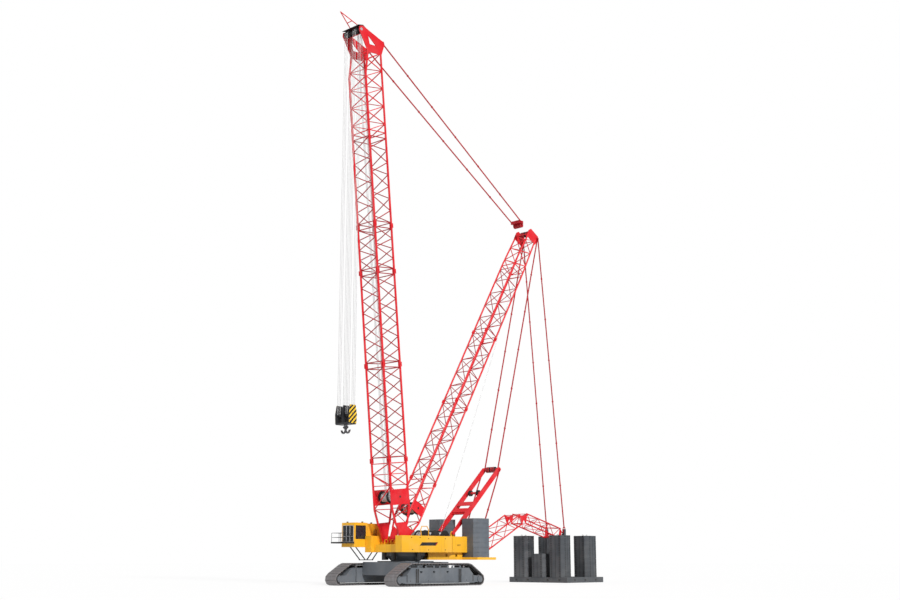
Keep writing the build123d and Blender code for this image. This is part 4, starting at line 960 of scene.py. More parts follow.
@dataclass(frozen=True)
class LoopSizes:
    """Outline of a crawler's loop.

    Attributes:
        nose_x: Axle's distance from the middle.
        nose_r: Radius round an axle.
        corner_x: Upper corner's distance from the middle.
        top: Height of the upper run.
        corner_r: Radius of the upper corner.
        shoes: Number of shoes.
        shoe_half: Half of a shoe's length along the loop.
        width: Shoe width.
        track_y: Distance of the loop's middle from the crane's.
    """

    nose_x: float = 3.525
    nose_r: float = 0.385
    corner_x: float = 2.56
    top: float = 1.365
    corner_r: float = 0.26
    shoes: int = 64
    shoe_half: float = 0.121
    width: float = 1.0
    track_y: float = 2.65

    def arcs(self, inset: float) -> list[tuple[float, float, float, float, float]]:
        """Lays the loop out as arcs.

        Args:
            inset: Distance inward from the outer face of the shoes.

        Returns:
            Each arc's centre x and z, its radius, and its first and last angle.
        """
        nose, top = self.nose_r - inset, self.corner_r - inset
        corner_z = self.top - self.corner_r
        run, rise = self.nose_x - self.corner_x, corner_z - self.nose_r
        normal = math.atan2(run, rise) + math.asin((nose - top) / math.hypot(run, rise))
        half = math.pi / 2
        return [(self.nose_x, self.nose_r, nose, -half, normal), (self.corner_x, corner_z, top, normal, half),
                (-self.corner_x, corner_z, top, half, math.pi - normal),
                (-self.nose_x, self.nose_r, nose, math.pi - normal, 3 * half)]

    def stations(self, inset: float, count: int) -> list[tuple[float, float, float]]:
        """Spaces points evenly along the loop.

        Args:
            inset: Distance inward from the outer face of the shoes.
            count: Number of points.

        Returns:
            Each point's x, z and outward angle.
        """
        arcs = self.arcs(inset)
        pieces = []
        for index, (cx, cz, radius, start, stop) in enumerate(arcs):
            after = arcs[(index + 1) % len(arcs)]
            a = (cx + radius * math.cos(stop), cz + radius * math.sin(stop))
            b = (after[0] + after[2] * math.cos(after[3]), after[1] + after[2] * math.sin(after[3]))
            pieces.append(("arc", radius * (stop - start), (cx, cz, radius, start)))
            pieces.append(("line", math.dist(a, b), (*a, *b, stop)))
        total = sum(piece[1] for piece in pieces)
        found = []
        for step in range(count):
            left = total * (step + 0.5) / count
            for kind, length, data in pieces:
                if left <= length:
                    break
                left -= length
            if kind == "arc":
                cx, cz, radius, start = data
                angle = start + left / radius
                chord = math.sqrt(radius ** 2 - self.shoe_half ** 2)
                found.append((cx + chord * math.cos(angle), cz + chord * math.sin(angle), angle))
            else:
                ax, az, bx, bz, angle = data
                share = left / length
                found.append((ax + (bx - ax) * share, az + (bz - az) * share, angle))
        return found


@dataclass(frozen=True)
class FrameSizes:
    """Fittings of a crawler's side frame.

    Attributes:
        face: Frame's face from the loop's middle.
        recess_x: Middles of the two deep upright recesses.
        recess_half: Half width of one.
        seam_x: Narrow upright gaps beside the axle plates.
        z: Lower and upper end of recesses and gaps.
        bridge_x: Middles of the bridges between the frame and the upper run.
        bridge_half: Half length of one.
        bridge_z: Its lower and upper edge.
        open_bridge: The bridge that has no black back of painted shade.
        plug_x: Round plugs in the lower part.
        hub: Axle's distance from the middle, its height and its cover's radius.
        seat_x: Ends of the block that an arm seats on.
        arm_x: Ends of the arm itself.
        seat_z: Lower and upper edge of that block, and the arm's underside.
        edge_half: Half width of a recess's edge plates and of the plate between them.
        raised: How far these plates stand out.
        ledge: Ends from the recesses, lower and upper edge of the ledge below them.
        slit_z: Lower and upper edge of the slit above the ledge.
        seam: Half width of an upright gap, its foot above and its head below the recess's.
        plug: A plug's height and radius.
    """

    face: float = 0.43
    recess_x: Sequence[float] = (2.05, -1.69)
    recess_half: float = 0.15
    seam_x: Sequence[float] = (2.9, -2.9)
    z: tuple[float, float] = (0.2, 1.02)
    bridge_x: Sequence[float] = (2.31, 0.95, -0.27, -1.39)
    bridge_half: float = 0.44
    bridge_z: tuple[float, float] = (1.07, 1.222)
    open_bridge: float = -1.39
    plug_x: Sequence[float] = (2.62, 1.08, -0.63, -2.3)
    hub: tuple[float, float, float] = (3.525, 0.385, 0.205)
    seat_x: tuple[float, float] = (0.69, 2.15)
    arm_x: tuple[float, float] = (1.035, 1.665)
    seat_z: tuple[float, float, float] = (0.19, 1.05, 0.61)
    edge_half: tuple[float, float] = (0.022, 0.014)
    raised: float = 0.022
    ledge: Point = (0.2, 0.17, 0.19)
    slit_z: tuple[float, float] = (0.268, 0.276)
    seam: Point = (0.03, 0.05, 0.35)
    plug: tuple[float, float] = (0.325, 0.03)


class Crawlers(SubAssembly):
    """Track shoes, chain lugs and side-frame fittings."""

    loop = LoopSizes()
    frame = FrameSizes()

    def build(self) -> None:
        """Makes both crawlers."""
        for name, side in (("left", 1), ("right", -1)):
            self.shoes(name, side)
            self.plates(name, side)
            self.gaps(name, side)
            self.hubs(name, side)

    def shoe(self) -> bpy.types.Object:
        """One shoe with its low pad, outside face along +X."""
        half, long = self.loop.width / 2, self.loop.shoe_half
        form = Form()
        form.block((-0.055, -half, -long), (-0.012, half, long))
        form.block((-0.014, -half + 0.012, -long + 0.03), (0.0, half - 0.012, long - 0.012))
        return form.done("shoe", self.wardrobe, Finish.STEEL, 0.004)

    def link(self) -> bpy.types.Object:
        """The chain link and drive lugs behind one shoe."""
        long = self.loop.shoe_half
        form = Form()
        for y in (-0.16, 0.16):
            form.block((-0.128, y - 0.05, -long - 0.006), (-0.05, y + 0.05, long + 0.006))
            form.disc(-0.09, long, 0.026, y - 0.065, y + 0.065, 8)
        for y in (-0.43, 0.43):
            form.block((-0.125, y - 0.035, -long * 0.8), (-0.05, y + 0.035, long * 0.8))
        return form.done("link", self.wardrobe, Finish.BLACK)

    def shoes(self, name: str, side: int) -> None:
        """The whole loop of shoes and links of one crawler.

        Args:
            name: Left or right.
            side: 1 or -1.
        """
        places = []
        for x, z, angle in self.loop.stations(0.0, self.loop.shoes):
            places.append((Vector((self.slew_x + x, side * self.loop.track_y, z)), (0.0, -angle, 0.0),
                           (1.0, 1.0, 1.0)))
        loop = self.nodes.copies("track_shoes_" + name, self.shoe(), places, Finish.STEEL)
        self.keep(loop, "undercarriage", Finish.STEEL, ("track_" + name,))
        chain = self.nodes.copies("track_chain_" + name, self.link(), places, Finish.BLACK)
        self.keep(chain, "undercarriage", Finish.BLACK)

    def faces(self, side: int, thick: float, under: float = 0.0) -> list[tuple[float, float, int]]:
        """The span in Y of a plate on the frame's outer and inner face, and which way it faces.

        Args:
            side: 1 or -1, which crawler.
            thick: Height of the plate.
            under: How deep it starts below the face.

        Returns:
            Near and far Y with 1 for the outer face and -1 for the inner.
        """
        rows = []
        for way in (1, -1):
            face = side * (self.loop.track_y + way * self.frame.face)
            out = side * way
            rows.append((face - out * under, face + out * thick, way))
        return rows

    def plates(self, name: str, side: int) -> None:
        """Raised plates, bridges and arm seats of one frame.

        Args:
            name: Left or right.
            side: 1 or -1.
        """
        size = self.frame
        form = self.form()
        low, high = size.z
        inset, foot, head = size.ledge
        for y0, y1, way in self.faces(side, size.raised, 0.01):
            for x in size.recess_x:
                for edge in (-1, 0, 1):
                    middle, half = x + edge * size.recess_half, size.edge_half[0 if edge else 1]
                    form.block((middle - half, min(y0, y1), low), (middle + half, max(y0, y1), high))
            if way == 1:
                self.bridges(form, y0 - side * 0.04, y1 - side * 0.022)
                form.block((size.recess_x[1] + inset, min(y0, y1), foot),
                           (size.recess_x[0] - inset, max(y0, y1), head))
        y0, y1, _ = self.faces(side, 0.05, 0.01)[1]
        bottom, top, underside = size.seat_z
        for end in (-1, 1):
            for near, far, height in ((size.seat_x[0], size.arm_x[0], top),
                                      (size.arm_x[1], size.seat_x[1], top),
                                      (size.arm_x[0], size.arm_x[1], underside)):
                x0, x1 = sorted((end * near, end * far))
                form.block((x0, min(y0, y1), bottom), (x1, max(y0, y1), height))
        self.settle(form, "frame_plates_" + name, "undercarriage", Finish.SLATE, 0.006)

    def bridges(self, form: Form, y0: float, y1: float) -> None:
        """Low frames between the side frame and the upper run.

        Args:
            form: The form that they are added to.
            y0: One face along Y.
            y1: The other face.
        """
        size = self.frame
        low, high = size.bridge_z
        for x in size.bridge_x:
            half = size.bridge_half
            form.block((x - half + 0.05, min(y0, y1), high - 0.03), (x + half - 0.05, max(y0, y1), high))
            form.block((x - half, min(y0, y1), low), (x + half, max(y0, y1), low + 0.03))
            for end in (-1, 1):
                a, b = sorted((x + end * half, x + end * (half - 0.15)))
                c, d = sorted((x + end * (half - 0.05), x + end * (half - 0.15)))
                form.plate([(a, low), (b, low), (d, high), (c, high)], min(y0, y1), max(y0, y1))

    def gaps(self, name: str, side: int) -> None:
        """Black recess floors and bridge backs as painted shade in the recesses and openings, and the dark
        gaps, slit and plugs of one frame.

        Args:
            name: Left or right.
            side: 1 or -1.
        """
        size = self.frame
        form = self.form()
        low, high = size.z
        for y0, y1, way in self.faces(side, 0.006, 0.002):
            a, b = sorted((y0, y1))
            for x in size.recess_x:
                # Each recess floor is a black sheet, painted shade for the recess's depth.
                form.block((x - size.recess_half, a, low), (x + size.recess_half, b, high))
            if way == -1:
                continue
            half, foot, head = size.seam
            for x in size.seam_x:
                form.block((x - half, a, low + foot), (x + half, b, high - head))
            form.block((size.recess_x[1] + size.ledge[0], a, size.slit_z[0]),
                       (size.recess_x[0] - size.ledge[0], b, size.slit_z[1]))
            for x in size.plug_x:
                form.disc(x, *size.plug, a, b, 12)
            for x in size.bridge_x:
                if x == size.open_bridge:
                    continue
                # Behind each bridge but the open one, a black sheet as painted shade in the opening.
                c, d = sorted((y0 - side * 0.045, y0 - side * 0.05))
                form.block((x - size.bridge_half + 0.12, c, size.bridge_z[0]),
                           (x + size.bridge_half - 0.12, d, size.bridge_z[1]))
        self.settle(form, "frame_gaps_" + name, "undercarriage", Finish.BLACK)

    def hubs(self, name: str, side: int) -> None:
        """Bolted covers over the axles of one crawler.

        Args:
            name: Left or right.
            side: 1 or -1.
        """
        x, z, radius = self.frame.hub
        form = self.form()
        places = []
        for y0, y1, way in self.faces(side, 0.055, 0.01):
            out = side * way
            for end in (-1, 1):
                form.disc(end * x, z, radius, y0, y1, 36)
                form.disc(end * x, z, radius * 0.45, y1, y1 + out * 0.012, 24)
                for step in range(12):
                    angle = math.pi * step / 6
                    at = (self.slew_x + end * x + radius * 0.78 * math.cos(angle), y1,
                          z + radius * 0.78 * math.sin(angle))
                    places.append((Vector(at), (-math.pi / 2 * out, 0.0, 0.0), (1.0, 1.0, 1.0)))
        self.settle(form, "hub_covers_" + name, "undercarriage", Finish.SLATE, 0.008)
        bolts = self.nodes.copies("hub_bolts_" + name, self.bolt(0.016), places, Finish.STEEL)
        self.keep(bolts, "undercarriage", Finish.STEEL)

    def bolt(self, radius: float) -> bpy.types.Object:
        """A six-sided bolt head along +Z."""
        return Form().tube((0.0, 0.0, -0.004), (0.0, 0.0, radius * 0.8), radius, 6).done(
            "bolt", self.wardrobe, Finish.STEEL)


@dataclass(frozen=True)
class Winding:
    """Rope on a drum.

    Attributes:
        name: The piece's name.
        body: The body that it turns with.
        stand: The system that the drum's centre is given in.
        at: The drum's centre as x and z.
        half: Half of the wound width.
        radius: Radius of the wound layer's middle.
        rope: Rope radius.
    """

    name: str
    body: str
    stand: Stand
    at: tuple[float, float]
    half: float
    radius: float = 0.266
    rope: float = 0.016


class Winches(SubAssembly):
    """Rope wound on the drums."""

    steps = 20
    spacing = 1.04
    middle_gap = 0.035

    def build(self, windings: Sequence[Winding]) -> None:
        """Winds each drum.

        Args:
            windings: The rope on each drum.
        """
        for winding in windings:
            turns = int(winding.half / winding.rope / self.spacing)
            count = turns // 2 * self.steps
            runs = []
            for half in (-1, 1):
                points = []
                for i in range(count + 1):
                    angle = 2 * math.pi * i / self.steps
                    y = half * (self.middle_gap + (winding.half - 2 * self.middle_gap) * i / count)
                    points.append(winding.stand.at(winding.at[0] + winding.radius * math.cos(angle), y,
                                                   winding.at[1] + winding.radius * math.sin(angle)))
                runs.append((points, winding.rope))
            wound = self.nodes.bars(winding.name, runs, Finish.ROPE, 6)
            self.keep(wound, winding.body, Finish.ROPE)


@dataclass(frozen=True)
class FallSizes:
    """The falls of rope.

    Attributes:
        lines: Each pair of falls, as its distance from the middle plane.
        rope: Rope radius.
    """

    lines: Sequence[float] = (-0.52, -0.39, -0.26, 0.26, 0.39, 0.52)
    rope: float = 0.011


class Hoist(SubAssembly):
    """The falls between the boom's head and the hook block."""

    size = FallSizes()

    def build(self) -> None:
        """Makes the falls, straight between the head's axle and the block's.

        A fall has rings at its two ends only, so it stays straight.
        """
        low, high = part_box("hoist_ropes")
        rope = self.size.rope
        runs = [([Vector((x, y, high.z)), Vector((x, y, low.z))], rope)
                for y in self.size.lines for x in (low.x + rope, high.x - rope)]
        ropes = self.nodes.bars("hoist_falls", runs, Finish.ROPE, 8)
        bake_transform(ropes)
        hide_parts("hoist_ropes")


@dataclass(frozen=True)
class DeckSizes:
    """Fittings of the superstructure's boxes.

    Attributes:
        side: Outer face of a side box from the middle plane.
        badge: Outline of the bare plate, as x and z.
        flash: Outline of the coloured end of that plate.
        sockets: Lifting sockets, as x and z, each a black disc of painted shade.
        recess: Face of the recess from the middle plane.
        handle: Ends and height of the grab handle in the recess.
        hoop: Points of the guard over the front drum, as x and z.
        hoop_y: The guard's place from the middle plane.
    """

    side: float = 1.64
    badge: Sequence[tuple[float, float]] = ((0.406, 2.418), (-1.059, 2.43), (-1.239, 2.634), (0.188, 2.62))
    flash: Sequence[tuple[float, float]] = ((-1.0, 2.45), (-1.055, 2.45), (-1.2, 2.61), (-1.145, 2.61))
    sockets: Sequence[tuple[float, float]] = ((1.106, 2.899), (0.366, 2.909), (-0.385, 2.857), (1.013, 2.179),
                                              (-0.389, 2.157), (-1.9, 2.86), (-1.9, 2.17))
    recess: float = 1.45
    handle: tuple[float, float, float] = (-3.46, -3.2, 2.49)
    hoop: Sequence[tuple[float, float]] = ((-0.74, 2.49), (-0.6, 3.42), (-0.7, 3.63), (-1.16, 3.64),
                                           (-1.32, 3.42), (-1.3, 2.49))
    hoop_y: float = 0.73


class UpperWorks(SubAssembly):
    """Sockets, the bare plate, handles and guards of the superstructure."""

    size = DeckSizes()

    def build(self) -> None:
        """Makes the fittings of both sides."""
        size = self.size
        dark, flash = self.form(), self.form()
        hoops = []
        for side in (-1, 1):
            near, far = sorted((side * (size.side - 0.002), side * (size.side + 0.006)))
            dark.plate(size.badge, near, far)
            flash.plate(size.flash, *sorted((side * size.side, side * (size.side + 0.009))))
            # Each socket is a black disc, painted shade in its hole.
            for x, z in size.sockets:
                dark.disc(x, z, 0.034, near, far, 16)
            first, last, level = size.handle
            y = side * size.recess
            hoops.append(([self.level.at(first, y, level), self.level.at(first, y + side * 0.06, level),
                           self.level.at(last, y + side * 0.06, level),
                           self.level.at(last, y, level)], 0.013))
        self.settle(dark, "deck_sockets", "superstructure", Finish.BLACK)
        self.settle(flash, "deck_plate_end", "superstructure", Finish.RED)
        grips = self.nodes.bars("deck_handles", hoops, Finish.BLACK, 8)
        self.keep(grips, "superstructure", Finish.BLACK)
        guards = [([self.level.at(x, side * size.hoop_y, z) for x, z in size.hoop], 0.03) for side in (-1, 1)]
        yellow = self.nodes.bars("drum_guards", guards, Finish.YELLOW, 10)
        self.keep(yellow, "superstructure", Finish.YELLOW)


@dataclass(frozen=True)
class CabSizes:
    """Openings of the operator's cab.

    Attributes:
        front: The windscreen's side view, as x and z from its foot to its top.
        front_y: Its two sides.
        mullion_y: The bars between its panes.
        side_y: Inner side wall's face.
        side: The side window's x and z, as low and high corner.
        door_y: Face of the door.
        door: The door window's x and z, as low and high corner.
        grip: The door's grip, as x and the heights of its ends.
        roof: Height of the roof.
        back: The cab's back wall, where the housing starts.
        ribs: Places of the roof's ribs.
        lamps: Work lamps on the roof, as x and y.
        grille: The vent in the housing's inner side, as x and z of two corners.
        seams: Foot of the upright seam, and lower and upper edge of the level one.
        level_seam_x: Rear end of the level seam.
        lamp: A lamp's length behind and before its middle, half width and height.
        rib_y: Both ends of a roof rib.
    """

    front: Sequence[tuple[float, float]] = ((2.85, 2.66), (2.85, 2.99), (2.85, 3.66))
    front_y: tuple[float, float] = (-2.75, -1.75)
    mullion_y: Sequence[float] = (-2.42, -2.08)
    side_y: float = -1.66
    side: tuple[tuple[float, float], tuple[float, float]] = ((1.9, 2.84), (2.74, 3.66))
    door_y: float = -2.893
    door: tuple[tuple[float, float], tuple[float, float]] = ((1.96, 3.05), (2.68, 3.6))
    grip: tuple[float, float, float] = (2.72, 2.98, 3.25)
    roof: float = 3.84
    back: float = 1.75
    ribs: Sequence[float] = (1.9, 2.2, 2.5)
    lamps: Sequence[tuple[float, float]] = ((2.6, -2.6), (2.07, -1.8), (1.3, -1.8))
    grille: tuple[tuple[float, float], tuple[float, float]] = ((0.92, 3.02), (1.24, 3.42))
    seams: Point = (2.56, 2.9, 2.907)
    level_seam_x: float = 0.47
    lamp: tuple[float, float, float, float] = (0.04, 0.035, 0.05, 0.075)
    rib_y: tuple[float, float] = (-2.78, -1.72)


class Cab(SubAssembly):
    """Window frames, wiper, grilles, lamps and handles of the cab."""

    size = CabSizes()

    def build(self) -> None:
        """Makes the cab's trim."""
        size = self.size
        bars = []
        for y in (*size.front_y, *size.mullion_y):
            bars.append(([self.level.at(x, y, z) for x, z in size.front], 0.016))
        for x, z in size.front:
            bars.append(([self.level.at(x, y, z) for y in size.front_y], 0.014))
        frames = self.nodes.bars("windscreen_frame", bars, Finish.SILVER, 8)
        self.keep(frames, "superstructure", Finish.SILVER)
        seals = [(self.ring(size.side, size.side_y), 0.013)]
        knee, top = size.front[1:]
        seals.append(([self.level.at(knee[0] + 0.012, -2.0, knee[1] - 0.02),
                       self.level.at(top[0] + 0.03, -2.32, top[1] - 0.1)], 0.007))
        trim = self.nodes.bars("cab_seals", seals, Finish.BLACK, 8)
        self.keep(trim, "superstructure", Finish.BLACK)
        seal = self.nodes.bars("door_seal", [(self.ring(size.door, size.door_y), 0.01)], Finish.BLACK, 8)
        self.keep(seal, "door", Finish.BLACK)
        x, low, high = size.grip
        out = size.door_y - 0.035
        grip = [self.level.at(x, size.door_y, low), self.level.at(x, out, low),
                self.level.at(x, out, high), self.level.at(x, size.door_y, high)]
        self.keep(self.nodes.bars("door_grip", [(grip, 0.009)], Finish.SILVER, 8), "door", Finish.SILVER)
        self.fittings()

    def ring(self, corners: tuple[tuple[float, float], tuple[float, float]], y: float) -> list[Vector]:
        """A closed run round an opening in a side wall."""
        (x0, z0), (x1, z1) = corners
        return [self.level.at(x, y, z) for x, z in ((x0, z0), (x1, z0), (x1, z1), (x0, z1), (x0, z0))]

    def fittings(self) -> None:
        """Roof lamps, the housing's grille and the seams between panels."""
        size = self.size
        form = self.form()
        (x0, z0), (x1, z1) = size.grille
        y = size.side_y
        count = 9
        for step in range(count):
            z = z0 + (z1 - z0) * step / (count - 1)
            form.block((x0, y - 0.004, z - 0.012), (x1, y + 0.01, z + 0.012))
        foot, low, high = size.seams
        form.block((size.back - 0.005, y - 0.002, foot), (size.back + 0.005, y + 0.003, size.roof - 0.05))
        form.block((size.level_seam_x, y - 0.002, low), (size.back - 0.01, y + 0.003, high))
        behind, before, half, tall = size.lamp
        for x, across in size.lamps:
            roof = size.roof if x > size.back else size.roof - 0.04
            form.block((x - behind, across - half, roof - 0.003), (x + before, across + half, roof + tall))
        self.settle(form, "cab_fittings", "superstructure", Finish.BLACK, 0.003)
        rail = self.form()
        for x in size.ribs:
            rail.block((x - 0.012, size.rib_y[0], size.roof - 0.002),
                       (x + 0.012, size.rib_y[1], size.roof + 0.014))
        self.settle(rail, "cab_roof_ribs", "superstructure", Finish.YELLOW, 0.003)


@dataclass(frozen=True)
class BoomSizes:
    """Fittings of the boom, in its own system.

    Attributes:
        lead_y: Hoist ropes that run up inside the boom.
        lead: Their lower and upper end, as x and z.
        roll: Axle of the head's sheave roll, as x and z.
        roll_end: Half length of the roll.
        cover: Side view of the plate over the roll.
        cover_y: Half width of that plate.
    """

    lead_y: Sequence[float] = (-0.235, -0.165, -0.095, 0.095, 0.165, 0.235)
    lead: tuple[tuple[float, float], tuple[float, float]] = ((0.27, 2.72), (0.33, 32.97))
    roll: tuple[float, float] = (0.9, 32.95)
    roll_end: float = 0.8325
    cover: Sequence[tuple[float, float]] = ((0.42, 33.06), (0.72, 33.26), (1.12, 33.2), (1.12, 33.225),
                                            (0.7, 33.29), (0.4, 33.09))
    cover_y: float = 0.8


class BoomWorks(SubAssembly):
    """Ropes inside the boom, the head's covers and the tip's gear."""

    size = BoomSizes()

    def build(self, boom: Stand) -> None:
        """Makes the boom's fittings.

        Args:
            boom: The boom's axis system.
        """
        size = self.size
        (x0, z0), (x1, z1) = size.lead
        leads = [([boom.at(x0, y, z0), boom.at(x1, y, z1)], 0.011) for y in size.lead_y]
        self.keep(self.nodes.bars("boom_lead_ropes", leads, Finish.ROPE, 6), "boom", Finish.ROPE)
        cover = Form(boom)
        cover.plate(size.cover, -size.cover_y, size.cover_y)
        self.settle(cover, "head_cover", "boom", Finish.BLACK, 0.004)
        ends = Form(boom)
        x, z = size.roll
        for side in (-1, 1):
            ends.disc(x, z, 0.1, *sorted((side * (size.roll_end - 0.01), side * (size.roll_end + 0.006))), 32)
            ends.disc(x, z, 0.06, *sorted((side * size.roll_end, side * (size.roll_end + 0.016))), 20)
        self.settle(ends, "roll_ends", "sheaves", Finish.SILVER, 0.003)


@dataclass(frozen=True)
class MastSizes:
    """Fittings of the mast, in its own system.

    Attributes:
        pipe: The pipe behind the rear chords, as x, y and its two ends.
        clip: Distance from one of its clips to the next.
        half: Half depth of the mast.
        head: Middle of the luffing sheaves, as x and z.
        head_y: The sheaves across the head.
        sheave: Their radius, half width and groove.
    """

    pipe: tuple[float, float, float, float] = (-0.65, 0.5, 2.3, 21.2)
    clip: float = 2.1
    half: float = 0.54
    head: tuple[float, float] = (0.1, 25.94)
    head_y: Sequence[float] = (-0.36, -0.24, -0.12, 0.12, 0.24, 0.36)
    sheave: tuple[float, float, float] = (0.206, 0.044, 0.03)


class MastWorks(SubAssembly):
    """The mast's pipe, its head's sheaves and the rope that comes up to them."""

    size = MastSizes()

    def build(self, mast: Stand, winch: Point) -> None:
        """Makes the mast's fittings.

        Args:
            mast: The mast's axis system.
            winch: Where the luffing rope leaves its drum.
        """
        size = self.size
        x, y, low, high = size.pipe
        pipes = [([mast.at(x, y, low), mast.at(x, y, high)], 0.022)]
        level = low + 0.1
        while level < high:
            pipes.append(([mast.at(x, y, level), mast.at(-size.half, 0.6, level)], 0.014))
            level += size.clip
        self.keep(self.nodes.bars("mast_pipe", pipes, Finish.RED, 8), "superstructure", Finish.RED)
        x, z = size.head
        radius, half, groove = size.sheave
        wheels = Form(mast)
        for y in size.head_y:
            wheels.wheel(x, z, y, radius, half, groove)
        self.settle(wheels, "mast_head_sheaves", "superstructure", Finish.BLACK)
        rope = [([self.level.at(*winch), mast.at(x - radius, 0.0, z)], 0.009)]
        self.keep(self.nodes.bars("luffing_lead", rope, Finish.ROPE, 6), "superstructure", Finish.ROPE)


@dataclass(frozen=True)
class GantrySizes:
    """Fittings of the gantry.

    Attributes:
        foot: Foot pin, as x and z.
        top: Top axle, as x and z.
        shaft: Axle of the guide sheaves, as x and z.
        top_y: Sheaves on the top axle.
        shaft_y: Sheaves on the guide axle.
        leg_y: Inner face of a leg.
        steps: Places of the cross plates, as shares of the leg.
        top_wheel: Radius, half width and groove of a sheave at the top.
        shaft_wheel: The same of a guide sheave.
        step_off: Near and far face of a step plate from the leg's middle line.
        step_proud: How far a step plate stands out past the legs.
    """

    foot: tuple[float, float] = (-3.65, 3.25)
    top: tuple[float, float] = (-8.2, 7.6)
    shaft: tuple[float, float] = (-6.471, 5.947)
    top_y: Sequence[float] = (-0.33, -0.21, -0.09, 0.09, 0.21, 0.33)
    shaft_y: Sequence[float] = (-0.35, 0.35)
    leg_y: float = 0.62
    steps: Sequence[tuple[float, float]] = ((0.3, 0.36), (0.4, 0.46))
    top_wheel: Point = (0.196, 0.046, 0.03)
    shaft_wheel: Point = (0.197, 0.066, 0.03)
    step_off: tuple[float, float] = (0.1, 0.13)
    step_proud: float = 0.004


class GantryWorks(SubAssembly):
    """Sheaves and step plates of the gantry."""

    size = GantrySizes()

    def build(self) -> None:
        """Makes the gantry's fittings."""
        size = self.size
        wheels = self.form()
        for y in size.top_y:
            wheels.wheel(*size.top, y, *size.top_wheel)
        for y in size.shaft_y:
            wheels.wheel(*size.shaft, y, *size.shaft_wheel)
        self.settle(wheels, "gantry_sheaves", "superstructure", Finish.BLACK)
        plates = self.form()
        dx, dz = size.top[0] - size.foot[0], size.top[1] - size.foot[1]
        length = math.hypot(dx, dz)
        for first, last in size.steps:
            outline = []
            under, over = size.step_off
            for share, off in ((first, under), (last, under), (last, over), (first, over)):
                outline.append((size.foot[0] + dx * share + dz / length * off,
                                size.foot[1] + dz * share - dx / length * off))
            plates.plate(outline, -size.leg_y - size.step_proud, size.leg_y + size.step_proud)
        self.settle(plates, "gantry_step_plates", "superstructure", Finish.RED, 0.004)


@dataclass(frozen=True)
class BlockSizes:
    """Trim of the hook block, about its own axle.

    Attributes:
        cheek: Outline of the striped plate, as x and z.
        cheek_y: The cheek's face.
        axle_z: Height of the block's axle.
        pins: Round pins on a cheek, as x, z and radius.
    """

    cheek: Sequence[tuple[float, float]] = ((-0.3, -0.56), (0.3, -0.56), (0.33, 0.0), (0.22, 0.56),
                                            (-0.22, 0.56), (-0.33, 0.0))
    cheek_y: float = 0.63
    axle_z: float = 10.25
    pins: Sequence[Point] = ((0.0, 0.0, 0.07), (0.14, 0.44, 0.032), (-0.14, 0.44, 0.032),
                             (0.22, -0.44, 0.032), (-0.22, -0.44, 0.032))


class HookWorks(SubAssembly):
    """Striped cheeks and pins of the hook block."""

    size = BlockSizes()

    def build(self) -> None:
        """Makes the block's trim on both cheeks."""
        size = self.size
        low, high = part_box("hook_block")
        x, z = (low.x + high.x) / 2 - self.slew_x, size.axle_z
        stripes, pins = self.form(), self.form()
        for side in (-1, 1):
            y = side * size.cheek_y
            stripes.plate([(x + a, z + b) for a, b in size.cheek],
                          *sorted((y - side * 0.004, y + side * 0.005)))
            for a, b, radius in size.pins:
                pins.disc(x + a, z + b, radius, *sorted((y, y + side * 0.02)), 20)
        self.settle(stripes, "block_stripes", "block", Finish.STRIPED)
        self.settle(pins, "block_pins", "block", Finish.HOOK, 0.003)


@dataclass(frozen=True)
class Stack:
    """A pile of ballast slabs on the tray.

    Attributes:
        x: Its middle.
        y: Its middle from the middle plane.
        long: Its size in X.
        wide: Its size in Y.
        top: Its top.
    """

    x: float
    y: float
    long: float
    wide: float
    top: float


@dataclass(frozen=True)
class TraySizes:
    """The ballast tray and its piles.

    Attributes:
        middle: The tray's middle along X.
        half: Its half length and half width.
        top: Height of its plate.
        slab: Height of one slab.
        cut: A pile's corner cut, as a share of its length.
        lug_shares: Lugs across a face, as shares of its flat width.
        pocket_y: Pockets in the tray's ends.
        pocket_x: Pockets in its sides.
        pocket: Half width, foot and top of a pocket.
        piles: Each pile's middle from the tray's, size in X, size in Y and top.
    """

    middle: float = -15.15
    half: tuple[float, float] = (2.1, 2.6)
    top: float = 0.37
    slab: float = 0.16
    cut: float = 0.18
    lug_shares: Sequence[float] = (-0.37, 0.37)
    pocket_y: Sequence[float] = (-1.95, -0.9, 0.9, 1.95)
    pocket_x: Sequence[float] = (-1.2, 0.0, 1.2)
    pocket: Point = (0.09, 0.13, 0.24)
    piles: Sequence[tuple[float, ...]] = ((1.6, 1.64, 1.05, 1.35, 3.236), (1.6, -1.64, 1.05, 1.35, 3.236),
                                          (-1.3, 1.64, 1.3, 1.35, 3.236), (-1.3, -1.64, 1.3, 1.35, 3.236),
                                          (1.6, 0.0, 1.05, 1.3, 1.986))


